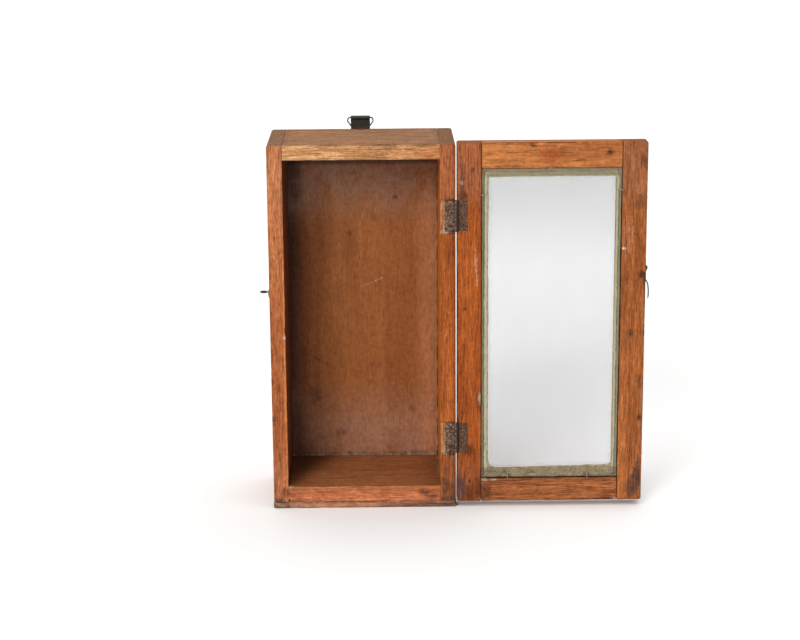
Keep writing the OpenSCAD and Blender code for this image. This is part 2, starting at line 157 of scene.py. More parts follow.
def make_floor():
    mesh = bpy.data.meshes.new("floor")
    corners = [(x * FLOOR_HALF, y * FLOOR_HALF, 0) for x, y in ((-1, -1), (1, -1), (1, 1), (-1, 1))]
    mesh.from_pydata(corners, [], [(0, 1, 2, 3)])
    floor = bpy.data.objects.new("floor", mesh)
    bpy.context.scene.collection.objects.link(floor)
    paper = bpy.data.materials.new("floor_paper")
    paper.use_nodes = True
    shader = paper.node_tree.nodes["Principled BSDF"]
    for key, value in (("Base Color", (0.93, 0.93, 0.93, 1)), ("Roughness", 0.9),
                       ("Specular IOR Level", 0.1)):
        shader.inputs[key].default_value = value
    mesh.materials.append(paper)


# ---------- materials ----------


def srgb(red, green, blue):
    """A colour as it looks on screen, 0 to 255, as linear light."""
    return tuple(((c / 255 + 0.055) / 1.055) ** 2.4 for c in (red, green, blue))


def linear(colour):
    """Linear light of a colour, which is a screen colour if a channel is over 1."""
    return srgb(*colour) if max(colour) > 1 else colour


class Finish(Graph):
    """A material made of layers of colour, roughness and height over one Principled shader.
    Lengths are in mm in the part's own frame."""

    def __init__(self, name, colour, rough=0.5, metal=0.0):
        self.material = bpy.data.materials.new(name)
        self.material.use_nodes = True
        super().__init__(self.material.node_tree)
        self.shader = self.tree.nodes["Principled BSDF"]
        place = self.node("ShaderNodeTexCoord")
        self.p = self.vector("SCALE", place.outputs["Object"], scale=1 / MM)
        split = self.node("ShaderNodeSeparateXYZ", self.p)
        self.axes = split.outputs[:3]
        self.normal = self.node("ShaderNodeSeparateXYZ", place.outputs["Normal"]).outputs[:3]
        self.colour, self.rough, self.metal, self.height = (*colour, 1.0), rough, metal, 0.0

    def grain(self, scale, detail=3.0, rough=0.55, seed=0.0, source=None):
        """Noise from 0 to 1; scale is the number of features per mm, one number or x, y and z."""
        scale = tuple(scale) if isinstance(scale, (tuple, list)) else (scale,) * 3
        moved = self.vector("MULTIPLY", source or self.p, scale)
        moved = self.vector("ADD", moved, (seed * 17.3, seed * 9.1, seed * 5.7))
        made = self.node("ShaderNodeTexNoise", moved)
        for key, value in (("Scale", 1.0), ("Detail", detail), ("Roughness", rough)):
            made.inputs[key].default_value = value
        return made.outputs["Fac"]

    def spots(self, scale, detail, rough, seed, low, high):
        """1 where the grain is past high, 0 where it is short of low."""
        return self.ramp(self.grain(scale, detail, rough, seed), low, high)

    def swing(self, noise, size):
        """Noise from 0 to 1 as a swing about 0."""
        return self.math("MULTIPLY", self.math("SUBTRACT", noise, 0.5), size)

    def least(self, a, b, c, d):
        return self.math("MINIMUM", self.math("MINIMUM", a, b), self.math("MINIMUM", c, d))

    def raise_by(self, noise, size):
        self.height = self.math("ADD", self.height, self.math("MULTIPLY", noise, size))

    def mix(self, mask, a, b, mode="MIX"):
        made = self.node("ShaderNodeMix", data_type="RGBA", blend_type=mode)
        made.clamp_factor = True
        for socket, value in ((made.inputs[0], mask), (made.inputs[6], a), (made.inputs[7], b)):
            if isinstance(value, tuple) and len(value) == 3:
                value = (*value, 1.0)
            self.feed(socket, value)
        return made.outputs[2]

    def blend(self, mask, a, b):
        made = self.node("ShaderNodeMix", mask, data_type="FLOAT")
        self.feed(made.inputs[2], a)
        self.feed(made.inputs[3], b)
        return made.outputs[0]

    def layer(self, mask, colour=None, amount=1.0, mode="MIX", rough=None, height=None, metal=None):
        """Lays a coat over what is there, where mask is 1."""
        if amount != 1.0:
            mask = self.math("MULTIPLY", mask, amount)
        if colour is not None:
            self.colour = self.mix(mask, self.colour, colour, mode)
        if rough is not None:
            self.rough = self.blend(mask, self.rough, rough)
        if metal is not None:
            self.metal = self.blend(mask, self.metal, metal)
        if height is not None:
            self.raise_by(mask, height)

    def coat(self, colour, amount, *masks, **changes):
        """A layer where all masks are 1. A colour with a channel over 1 is a screen colour."""
        self.layer(self.times(*masks), linear(colour), amount, **changes)

    # masks

    def near(self, centre, radii, ragged=0.35, seed=0.0, soft=0.35, size=None):
        """1 round a point, with an uneven edge; size is the number of bumps per mm."""
        size = size or 1.2 / min(radii)
        away = self.vector("SUBTRACT", self.p, tuple(centre))
        away = self.vector("LENGTH", self.vector("DIVIDE", away, tuple(radii)))
        away = self.math("ADD", away, self.swing(self.grain(size, 3, 0.6, seed), 2 * ragged))
        return self.ramp(away, 1 + soft, 1 - soft)

    def between(self, axis, low, high, soft=0.5):
        """1 where a coordinate is between two values, or past one of them."""
        mask = None
        if low is not None:
            mask = self.ramp(axis, low - soft, low + soft)
        if high is not None:
            upper = self.ramp(axis, high + soft, high - soft)
            mask = upper if mask is None else self.math("MULTIPLY", mask, upper)
        return mask

    def facing(self, axis, sign):
        return self.ramp(self.math("MULTIPLY", self.normal[axis], sign), 0.5, 0.8)

    def along(self, axis):
        return self.ramp(self.math("ABSOLUTE", self.normal[axis]), 0.6, 0.85)

    def edge_distance(self, low, high, seed=0.0, ragged=1.0):
        """Distance from the nearest edge of a box, made uneven, for a point on its surface."""
        middle = [(a + b) / 2 for a, b in zip(low, high)]
        half = [(b - a) / 2 for a, b in zip(low, high)]
        away = self.vector("ABSOLUTE", self.vector("SUBTRACT", self.p, tuple(middle)))
        left = self.vector("SUBTRACT", tuple(half), away)
        a, b, c = self.node("ShaderNodeSeparateXYZ", left).outputs[:3]
        inner = self.math("MINIMUM", self.math("MAXIMUM", a, b), c)
        distance = self.math("MAXIMUM", self.math("MINIMUM", a, b), inner)
        return self.math("ADD", distance, self.swing(self.grain(0.35, 4, 0.65, seed), 2 * ragged))

    def times(self, *masks):
        made = masks[0]
        for mask in masks[1:]:
            made = self.math("MULTIPLY", made, mask)
        return made

    def done(self, bump=1.0, specular=0.5):
        self.feed(self.shader.inputs["Base Color"], self.colour)
        self.feed(self.shader.inputs["Roughness"], self.rough)
        self.feed(self.shader.inputs["Metallic"], self.metal)
        self.shader.inputs["Specular IOR Level"].default_value = specular
        if isinstance(self.height, bpy.types.NodeSocket):
            relief = self.node("ShaderNodeBump")
            relief.inputs["Strength"].default_value = bump
            relief.inputs["Distance"].default_value = MM
            self.feed(relief.inputs["Height"], self.height)
            self.feed(self.shader.inputs["Normal"], relief.outputs[0])
        return self.material


def box_mm(node):
    """Lowest and highest corner of a CAD node in mm."""
    low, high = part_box(node)
    return low / MM, high / MM


def shaded(colour, *factors):
    """A colour times one factor, or one for each of its channels."""
    factors = factors * 3 if len(factors) == 1 else factors
    return tuple(min(1.0, c * k) for c, k in zip(colour, factors))


def wood(name, node, grain_axis, colour, seed, rough=0.55, waver=3.0, bands=0.5, streaks=0.5,
         lines=0.45, flecks=0.4, clouds=0.4, edges=0.6):
    """Old varnished softwood: broad bands, dirt in clouds, end grain and dirty, rubbed edges.
    The numbers say how strong each one is; figured() adds the fine grain over the stains."""
    f = Finish(name, colour, rough)
    f.grain_axis, f.seed, f.strength = grain_axis, seed, (streaks, lines, flecks)
    low, high = box_mm(node)
    f.dark, f.light = shaded(colour, 0.45, 0.36, 0.3), shaded(colour, 1.45, 1.55, 1.7)
    f.soot = shaded(colour, 0.14, 0.18, 0.26)
    across = [0 if i == grain_axis else 1 for i in range(3)]
    drift = f.swing(f.grain([0.03 if a else 0.01 for a in across], 2, 0.5, seed + 0.5), 2 * waver)
    f.bent = f.vector("ADD", f.p, f.vector("SCALE", tuple(float(a) for a in across), scale=drift))
    broad = f.grain([0.09 if a else 0.007 for a in across], 3, 0.5, seed, f.bent)
    f.layer(f.ramp(broad, 0.5, 0.66), f.dark, bands * 0.7)
    f.layer(f.ramp(broad, 0.5, 0.34), f.light, bands)
    f.layer(f.spots(0.03, 5, 0.68, seed + 4.4, 0.5, 0.68), shaded(colour, 0.5, 0.5, 0.7), clouds,
            rough=rough + 0.15)
    # end grain
    end_colour = f.mix(f.spots(0.45, 4, 0.6, seed + 5.5, 0.35, 0.65),
                       shaded(colour, 0.45, 0.5, 0.6),
                       shaded(colour, 0.75, 0.8, 0.9))
    f.layer(f.along(grain_axis), end_colour, 0.85, rough=0.8)
    # edges hold dirt, and are rubbed through here and there
    away = f.edge_distance(low, high, seed + 7.1, 1.1)
    f.layer(f.ramp(away, 1.5, 0.1), f.soot, 0.85 * edges)
    patches = f.spots(0.06, 3, 0.6, seed + 8.3, 0.5, 0.6)
    f.layer(f.times(f.ramp(away, 1.5, 0.6), patches), f.light, 0.6, rough=0.7)
    return f


def figured(f, specular=0.12):
    """The fine grain of a wood: streaks, dark lines, pores, pale dashes, mottling and fibres,
    each one darker or paler than what it lies on."""
    streaks, lines, flecks = f.strength
    across = [0 if i == f.grain_axis else 1 for i in range(3)]

    def figure(wide, long, detail, ragged, offset):
        return f.grain([wide if a else long for a in across], detail, ragged, f.seed + offset,
                       f.bent)

    def tone(mask, colour, amount, height=None):
        f.layer(mask, colour, amount, mode="MULTIPLY", height=height)

    dark, pale, black = (0.52, 0.45, 0.4), (1.5, 1.6, 1.75), (0.22, 0.22, 0.26)
    streak = figure(0.65, 0.04, 5, 0.7, 1.3)
    tone(f.ramp(streak, 0.48, 0.66), dark, streaks)
    tone(f.ramp(streak, 0.5, 0.34), pale, streaks)
    tone(f.ramp(figure(1.1, 0.06, 4, 0.65, 2.1), 0.52, 0.62), dark, lines * 1.3, height=-0.06)
    tone(f.ramp(figure(0.9, 0.13, 3, 0.6, 3.7), 0.58, 0.68), black, flecks * 0.9, height=-0.1)
    tone(f.ramp(figure(0.9, 0.15, 3, 0.6, 5.2), 0.54, 0.66), pale, flecks)
    mottle = f.grain(0.3, 4, 0.7, f.seed + 9.4)
    tone(f.ramp(mottle, 0.5, 0.66), dark, 0.35)
    tone(f.ramp(mottle, 0.5, 0.34), pale, 0.25)
    tone(f.spots(0.5, 2, 0.5, f.seed + 6.2, 0.69, 0.76), black, 0.5)
    fibres = figure(2.4, 0.14, 3, 0.6, 4.1)
    tone(f.ramp(fibres, 0.5, 0.66), pale, 0.6 * streaks)
    tone(f.ramp(fibres, 0.5, 0.34), dark, 0.6 * streaks)
    f.raise_by(fibres, 0.07)
    f.rough = f.math("ADD", f.rough, f.swing(fibres, 0.3))
    return f.done(specular=specular)


MARK_DEPTH = 3


def stain(f, centre, radii, colour, amount=0.8, ragged=0.6, rough=None):
    """A smudge with a broken edge, drawn out along the grain."""
    seed = centre[0] + centre[2]
    mask = f.near(centre, radii, ragged, seed=seed, soft=0.55, size=1.1 / min(radii))
    scale = [0.16 if i == f.grain_axis else 0.5 for i in range(3)]
    mask = f.math("MULTIPLY", mask, f.ramp(f.grain(scale, 4, 0.65, seed), 0.28, 0.56, 0.25, 1.0))
    f.coat(colour, amount, mask, rough=rough)


def marks(f, *rows):
    """Stains on the front: x, z, half width, half height, colour, strength and, if not 0.6,
    raggedness."""
    for x, z, wide, high, colour, amount, *ragged in rows:
        stain(f, (x, front, z), (wide, MARK_DEPTH, high), colour, amount, *ragged)


def scratch(f, start, end, width, colour, amount=0.7):
    """A thin broken line between two points."""
    a, b = Vector(start), Vector(end)
    along = (b - a).normalized()
    off = f.vector("SUBTRACT", f.p, tuple(a))
    way = f.vector("DOT_PRODUCT", off, tuple(along))
    side = f.vector("LENGTH", f.vector("SUBTRACT", off, f.vector("SCALE", tuple(along), scale=way)))
    wander = f.swing(f.grain(0.25, 3, 0.6, a.x), 2.5 * width)
    inside = f.ramp(f.math("ADD", side, wander), width, width * 0.35)
    length = (b - a).length
    ends = f.times(f.ramp(way, 0, 0.08 * length), f.ramp(way, length, 0.92 * length))
    broken = f.spots(0.5, 2, 0.5, a.z, 0.38, 0.5)
    f.coat(colour, amount, inside, ends, broken)


# ---------- mesh building ----------


def hum(point, size, seed):
    """Smooth noise from about -1 to 1; size is in mm."""
    return noise.noise(Vector(point) / size + Vector((seed * 13.7, seed * 7.1, seed * 3.3)))


def to_object(name, points, faces, material, smooth=True):
    """An object from points in mm."""
    mesh = bpy.data.meshes.new(name)
    mesh.from_pydata([tuple(c * MM for c in p) for p in points], [], faces)
    tidy = bmesh.new()
    tidy.from_mesh(mesh)
    bmesh.ops.recalc_face_normals(tidy, faces=tidy.faces)
    bmesh.ops.triangulate(tidy, faces=[face for face in tidy.faces if len(face.verts) > 4])
    tidy.to_mesh(mesh)
    tidy.free()
    mesh.materials.append(material)
    obj = bpy.data.objects.new(name, mesh)
    bpy.context.scene.collection.objects.link(obj)
    if smooth:
        shade(obj)
    return obj


def shade(obj):
    obj.data.polygons.foreach_set("use_smooth", [True] * len(obj.data.polygons))
    obj.data.set_sharp_from_angle(angle=SMOOTH_ANGLE)


def turn(degrees):
    """A step of 1 in a direction, in 2-D."""
    return Vector((math.cos(math.radians(degrees)), math.sin(math.radians(degrees))))


def strip(a, b, n, twist=0):
    """Faces between two rings of n points, which start at points a and b."""
    return [(a + k, a + (k + 1) % n, b + (k + 1 + twist) % n,
             b + (k + twist) % n) for k in range(n)]


def caps(first, last, n):
    """The end faces on the first and the last ring of n points."""
    return [tuple(range(first, first + n))[::-1], tuple(range(last, last + n))]


def place(axis, a, b, w):
    """A point from its two section coordinates and its place along the axis."""
    point = [0.0, 0.0, 0.0]
    point[axis], point[(axis + 1) % 3], point[(axis + 2) % 3] = w, a, b
    return point


ARRIS_STEPS = 4
NOSE_STEPS = 6


def sweep_board(name, material, section, axis, start, end, seed, arris=0.7, end_arris=0.6,
                step=3.0, waves=0.07, chips=(), nose=((), 0.0)):
    """A board with the square-cornered section, swept along an axis, with worn arrises.
    The section is in the two other coordinates and runs anticlockwise. chips are
    [corner, place along the axis, length, depth]. nose is the corners of the outer face that
    curve in at both ends, and how far."""
    count = len(section)
    nose_corners, nose_r = nose
    corners = [Vector(c) for c in section]
    inner = end - start - 2 * end_arris
    # [place along the axis, how far the section is drawn in]
    stations = [(start + end_arris * (1 - math.cos(t)), end_arris * (1 - math.sin(t)))
                for t in (math.pi / 2 * k / ARRIS_STEPS for k in range(ARRIS_STEPS))]
    runs = max(2, round(inner / step))
    stations += [(start + end_arris + inner * k / runs, 0.0) for k in range(runs + 1)]
    stations += [(start + end - w, inset) for w, inset in reversed(stations[:ARRIS_STEPS])]
    splits = [max(2,
                  round((corners[(i + 1) % count] - corners[i]).length / 4)) for i in range(count)]
    if nose_r:
        middle = sum(corners, Vector((0, 0))) / count
        inward_x = math.copysign(1, middle.x - corners[nose_corners[0]].x)
        fine = [nose_r * k / NOSE_STEPS for k in range(1, NOSE_STEPS + 1)]
        stations += [(w, 0.0) for d in fine if d > end_arris for w in (start + d, end - d)]
        stations.sort()
    points = []
    for w, inset in stations:
        turned = []
        for i, corner in enumerate(corners):
            before = (corner - corners[i - 1]).normalized()
            after = (corners[(i + 1) % count] - corner).normalized()
            in1, in2 = Vector((-before.y, before.x)), Vector((-after.y, after.x))
            spot = corner + inset * (in1 + in2)
            reach = min(w - start, end - w)
            if i in nose_corners and reach < nose_r:
                drawn_in = nose_r - math.sqrt(max(0, nose_r ** 2 - (nose_r - reach) ** 2))
                spot = spot + drawn_in * Vector((inward_x, 0))
            at = place(axis, spot.x, spot.y, w)
            r = arris * (1 + 0.45 * hum(at, 14, seed + i) + 0.3 * hum(at, 4, seed + i + 20))
            for chip_corner, where, length, depth in chips:
                if chip_corner == i:
                    share = max(0, 1 - ((w - where) / (length / 2)) ** 2)
                    r += depth * share * (1 + 0.3 * hum(at, 1.5, seed))
            turned.append((spot - before * r, spot, spot + after * r, in2))
        for i, (a, p, b, inward) in enumerate(turned):
            for t in (k / ARRIS_STEPS for k in range(ARRIS_STEPS + 1)):
                q = (1 - t) * (1 - t) * a + 2 * t * (1 - t) * p + t * t * b
                points.append(place(axis, q.x, q.y, w))
            for k in range(1, splits[i]):
                q = b.lerp(turned[(i + 1) % count][0], k / splits[i])
                at = place(axis, q.x, q.y, w)
                q = q + inward * (waves * 0.5 * (1 + hum(at, 26, seed + 40 + i)
                                                 + 0.5 * hum(at, 6, seed + 60 + i)))
                points.append(place(axis, q.x, q.y, w))
    size = len(points) // len(stations)
    faces = caps(0, len(points) - size, size)
    for ring in range(0, len(points) - size, size):
        faces += strip(ring, ring + size, size)
    return to_object(name, points, faces, material)


def box_board(name, material, low, high, axis, seed, **wear):
    """A board that fills a box, swept along an axis."""
    a, b = (axis + 1) % 3, (axis + 2) % 3
    section = [(low[a], low[b]), (high[a], low[b]), (high[a], high[b]), (low[a], high[b])]
    return sweep_board(name, material, section, axis, low[axis], high[axis], seed, **wear)


def block_shape(low, high):
    points = [(x, y, z) for x in (low[0], high[0]) for y in (low[1], high[1]) for z in (low[2],
                                                                                        high[2])]
    faces = [(0, 1, 3, 2), (4, 6, 7, 5), (0, 4, 5, 1), (2, 3, 7, 6), (0, 2, 6, 4), (1, 5, 7, 3)]
    return points, faces


def round_shape(centre, axis, radius, depth, sides=20):
    """A short cylinder round centre, depth to each side of it along the axis."""
    points = []
    for end in (-depth, depth):
        for k in range(sides):
            a = 2 * math.pi * k / sides
            off = place(axis, radius * math.cos(a), radius * math.sin(a), end)
            points.append([c + o for c, o in zip(centre, off)])
    return points, caps(0, sides, sides) + strip(0, sides, sides)


def joined(shapes):
    """One shape of several."""
    points, faces = [], []
    for p, f in shapes:
        faces += [tuple(i + len(points) for i in face) for face in f]
        points += [tuple(q) for q in p]
    return points, faces


def cut(obj, shapes):
    """Takes shapes out of obj."""
    tool = to_object("tool", *joined(shapes), obj.data.materials[0], smooth=False)
    change = obj.modifiers.new("cut", "BOOLEAN")
    change.operation, change.solver, change.object = "DIFFERENCE", "EXACT", tool
    bpy.context.view_layer.update()
    seen = obj.evaluated_get(bpy.context.evaluated_depsgraph_get())
    mesh = bpy.data.meshes.new_from_object(seen)
    obj.modifiers.clear()
    obj.data = mesh
    bpy.data.objects.remove(tool)
    shade(obj)
    return obj


def curve_through(points, per_span=8, closed=False):
    """A smooth line through the points."""
    pts = [Vector(p) for p in points]
    n = len(pts)
    spans = n if closed else n - 1
    made = []
    for i in range(spans):
        p0 = pts[(i - 1) % n] if closed or i > 0 else pts[0] * 2 - pts[1]
        p1, p2 = pts[i], pts[(i + 1) % n]
        p3 = pts[(i + 2) % n] if closed or i + 2 < n else pts[-1] * 2 - pts[-2]
        for k in range(per_span):
            t = k / per_span
            made.append(0.5 * (2 * p1 + (p2 - p0) * t + (2 * p0 - 5 * p1 + 4 * p2 - p3) * t * t
                               + (3 * p1 - p0 - 3 * p2 + p3) * t * t * t))
    if not closed:
        made.append(pts[-1])
    return made


DOME_RINGS = 3
DOME_HEIGHT = 0.8
POINT_SHARE = 0.35


def tube_shape(path, radius, sides=14, closed=False, seed=1.0, rough=0.03, point=0.0):
    """A round wire along a path; point is the length over which its far end tapers."""
    n = len(path)
    lengths = [0.0]
    for a, b in zip(path, path[1:]):
        lengths.append(lengths[-1] + (b - a).length)
    tangents = [((path[(i + 1) % n] if closed or i + 1 < n else path[-1])
                 - (path[i - 1] if closed or i > 0 else path[0])).normalized() for i in range(n)]
    # place on the path, how far past it, and share of the radius; an open wire has domed ends
    order = [(i, 0.0, 1.0) for i in range(n)]
    if not closed:
        dome = [math.pi / 2 * k / DOME_RINGS for k in range(1, DOME_RINGS)]
        order = ([(0, -math.cos(t), math.sin(t)) for t in dome] + order
                 + [(n - 1, math.cos(t), math.sin(t)) for t in reversed(dome)])
    side = tangents[0].orthogonal().normalized()
    points, faces = [], []
    for i, ahead, swell in order:
        t = tangents[i]
        side = (side - t * side.dot(t)).normalized()
        other = t.cross(side)
        r = radius * (1 + rough * hum(path[i], 3, seed))
        if point:
            r *= min(1, POINT_SHARE + (1 - POINT_SHARE) * (lengths[-1] - lengths[i]) / point)
        for k in range(sides):
            a = 2 * math.pi * k / sides
            points.append(path[i] + t * ahead * r * DOME_HEIGHT
                          + (side * math.cos(a) + other * math.sin(a)) * r * swell)
    last = len(points) - sides
    for ring in range(0, last, sides):
        faces += strip(ring, ring + sides, sides)
    if closed:
        twist = min(range(sides), key=lambda k: (points[last] - points[k]).length)
        faces += strip(last, 0, sides, twist)
    else:
        faces += caps(0, last, sides)
    return points, faces


def keep(obj, body, slot, *nodes):
    """obj stands for CAD nodes of one body."""
    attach(obj, body)
    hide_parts(*nodes)
    return obj


WELD_METRES = 0.00001
SOFT_EDGE = 0.12
SOFTENED_FROM = math.radians(40)


def dress(node, material):
    """Gives a CAD node its finish and takes the sharpness off its edges."""
    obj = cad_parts[node]
    obj.data.materials.clear()
    obj.data.materials.append(material)
    weld = obj.modifiers.new("weld", "WELD")
    weld.merge_threshold = WELD_METRES
    soften = obj.modifiers.new("soften", "BEVEL")
    soften.width = SOFT_EDGE * MM
    soften.segments = 2
    soften.limit_method = "ANGLE"
    soften.angle_limit = SOFTENED_FROM
    soften.use_clamp_overlap = True
    soften.harden_normals = False
    obj.data.polygons.foreach_set("use_smooth", [True] * len(obj.data.polygons))
    return obj


make_camera()
make_world()
make_sun("key", azimuth=25, elevation=27, strength=1.65, softness=26, colour=(1.0, 0.985, 0.96))
make_sun("back_fill", azimuth=200, elevation=45, strength=0.3, softness=60)
make_floor()
bpy.context.scene.view_settings.view_transform = "Standard"
bpy.context.scene.view_settings.look = "None"

# ---------- named places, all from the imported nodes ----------

left_low, left_high = box_mm("left_side")
right_low, right_high = box_mm("right_side")
top_low, top_high = box_mm("top_board")
bottom_low, bottom_high = box_mm("bottom_board")
panel_low, panel_high = box_mm("back_panel")
base_low, base_high = box_mm("base_board")
hinge_stile_low, hinge_stile_high = box_mm("hinge_stile")
free_stile_low, free_stile_high = box_mm("free_stile")
top_rail_low, top_rail_high = box_mm("door_top_rail")
bottom_rail_low, bottom_rail_high = box_mm("door_bottom_rail")
glass_low, glass_high = box_mm("glass_pane")
putty_low, putty_high = box_mm("glazing_putty")

front = left_low.y
back = left_high.y
inner_left, inner_right = left_high.x, right_low.x
floor_z, ceiling_z = bottom_high.z, top_low.z
door_back = hinge_stile_high.y
lip_y = glass_high.y
rebate_left, rebate_right = putty_low.x, putty_high.x
rebate_low, rebate_high = putty_low.z, putty_high.z
lip = hinge_stile_high.x - rebate_left


# ---------- finishes ----------

GREY_DIRT = srgb(58, 52, 50)
PALE_DUST = srgb(186, 172, 148)
FRESH_WOOD = srgb(180, 130, 88)

upper_leaf_low, upper_leaf_high = box_mm("upper_hinge_case_leaf")
lower_leaf_low, lower_leaf_high = box_mm("lower_hinge_case_leaf")


def seam(f, distance, width, colour, amount, *masks):
    """A broken line of dirt along an inside corner; distance is from the corner in mm."""
    wander = f.swing(f.grain(0.2, 4, 0.7, width), 2.5 * width)
    line = f.ramp(f.math("ADD", distance, wander), 1.2 * width, 0.4 * width)
    broken = f.spots(0.11, 4, 0.7, width + 3, 0.38, 0.56)
    f.coat(colour, amount, line, broken, *masks, rough=0.95)


def away_from(f, axis, value):
    return f.math("ABSOLUTE", f.math("SUBTRACT", f.axes[axis], value))


def left_side_finish():
    f = wood("left_side_wood", "left_side", Z, srgb(178, 102, 57), 1.0, bands=0.5, streaks=0.5,
             lines=0.5,
             flecks=0.5, clouds=0.4, edges=0.45)
    f.coat((194, 129, 86), 0.6, f.ramp(Z, 220, 320))
    f.coat((186, 118, 74), 0.35, f.ramp(Z, 180, 220), f.ramp(Z, 280, 240))
    f.coat((186, 116, 76), 0.5, f.ramp(Z, 70, 20))
    # painted shade: the inner face is painted dark brown for the shade inside the case
    f.coat((84, 44, 25), 0.9, f.facing(X, 1))
    # painted highlight: a paler orange strip along the inner edge of the front face, lower part
    f.coat((212, 128, 66), 0.55, f.between(X, left_high.x - 1.8, None, 0.5), f.facing(Y, -1),
           f.ramp(Z, 270, 200))
    stain(f, (left_high.x - 3, front, left_low.z + 9), (3, 4, 5), f.soot, 0.7)
    stain(f, (left_low.x + 2, front, left_low.z + 18), (2, 4, 13), shaded(GREY_DIRT, 1.6), 0.5)
    stain(f, (left_low.x + 4, front, left_low.z), (7, 5, 3.4), GREY_DIRT, 0.7)
    for z in (214, 119, 84):
        stain(f, (left_low.x, front, z), (2.2, 4, 3), f.soot, 0.9)
    stain(f, (left_high.x, front, 167), (1.8, 5, 3.5), f.soot, 0.85)
    marks(f, (left_high.x - 1, 159.5, 1.4, 1.6, PALE_DUST, 0.9))
    stain(f, (left_high.x - 6, front, 290), (2.5, 4, 4), f.soot, 0.35)
    f.coat((118, 96, 74), 0.85, f.facing(Z, 1), f.spots(0.08, 5, 0.7, 3, 0.2, 0.55), rough=0.85)
    return figured(f)


def right_side_finish():
    f = wood("right_side_wood", "right_side", Z, srgb(165, 86, 35), 2.0, bands=0.45, streaks=0.5,
             lines=0.7,
             flecks=0.5, clouds=0.3, edges=0.7)
    f.coat((164, 96, 60), 0.75, f.ramp(Z, 248, 264))
    f.coat((142, 82, 48), 0.75, f.ramp(Z, 80, 60))
    # painted light: the inner face, where the key light falls, is painted a brighter orange
    f.coat((224, 124, 46), 0.8, f.facing(X, -1))
    f.coat((112, 50, 20), 0.55, f.between(X, right_high.x - 2.2, None, 0.8), f.facing(Y, -1))
    # bare wood in the floors of the hinge mortises, past the leaves
    for low, high in ((upper_leaf_low, upper_leaf_high), (lower_leaf_low, lower_leaf_high)):
        floor = f.times(f.between(Y, front + 0.45, high.y + 0.4, 0.1),
                        f.between(Z, low.z - 1, high.z + 1, 0.2),
                        f.facing(Y, -1))
        f.coat(FRESH_WOOD, 0.8, floor, rough=0.85)
        f.coat((132, 84, 58), 0.8, floor, f.spots((0.5, 0.5, 0.2), 4, 0.65, low.z, 0.45, 0.62))
        f.coat((186, 156, 128), 0.7, floor, f.spots((0.6, 0.6, 0.4), 3, 0.6, high.z, 0.56, 0.66))
        marks(f, (low.x + 1, low.z - 0.5, 5, 1.6, PALE_DUST, 0.85, 0.9),
                 (high.x - 6, low.z - 1.5, 5, 1.6, f.soot, 0.8, 0.9),
                 (high.x - 6, high.z + 1, 7, 0.9, f.soot, 0.7))
    marks(f, (right_low.x + 7.4, right_low.z + 46, 2.4, 3, f.soot, 0.85, 0.8),
             (right_low.x + 4, right_low.z + 14, 3, 9, shaded(GREY_DIRT, 1.2, 1.0, 0.9), 0.55, 0.9),
             (right_high.x - 3, right_low.z + 9, 3, 8, shaded(GREY_DIRT, 1.3, 1.0, 0.9), 0.5, 0.9),
             (right_low.x + 6, right_low.z + 1, 8, 3, GREY_DIRT, 0.55, 0.9))
    f.coat((118, 96, 72), 0.85, f.facing(Z, 1), f.spots(0.08, 5, 0.7, 5, 0.2, 0.55), rough=0.85)
    inside = f.facing(X, -1)
    # painted shade: the inner face is darker and greyer towards the back corner
    f.coat((112, 84, 56), 0.4, f.between(Y, back - 22, None, 7), inside)
    seam(f, away_from(f, Z, floor_z), 1.1, (166, 140, 108), 0.7, inside)
    seam(f, away_from(f, Z, floor_z + 2.6), 0.9, (52, 34, 22), 0.6, inside)
    return figured(f)


def top_board_finish():
    f = wood("top_wood", "top_board", X, srgb(186, 132, 85), 3.0, bands=0.35, streaks=0.7,
             lines=0.6, flecks=0.55,
             clouds=0.3, edges=0.3)
    f.coat((214, 166, 112), 0.65, f.ramp(X, 10, -40),
           f.spots((0.02, 0.2, 0.2), 3, 0.6, 9, 0.4, 0.6))
    # painted shade: the underside, the ceiling of the case, is painted dark
    f.coat((64, 34, 18), 0.85, f.facing(Z, -1))
    upper = f.facing(Z, 1)
    f.coat((146, 102, 74), 0.75, upper, rough=0.85)
    f.coat((138, 106, 82), 0.8, upper, f.spots((0.012, 0.09, 0.1), 5, 0.7, 4, 0.42, 0.65),
           rough=0.9)
    f.coat((152, 88, 52), 0.5, upper, f.ramp(Y, 25, back))
    for end in (top_low.x, top_high.x):
        f.coat((118, 94, 70), 0.45, upper, f.ramp(away_from(f, X, end), 8, 0))
    marks(f, (26, top_high.z, 22, 0.9, f.soot, 0.6, 1.2),
             (58, top_high.z - 0.5, 11, 1.0, f.soot, 0.65, 1.2),
             (-20, top_high.z - 0.3, 16, 0.8, f.soot, 0.45, 1.2),
             (top_high.x - 8, top_high.z - 8, 14, 6, (184, 104, 54), 0.5))
    return figured(f)


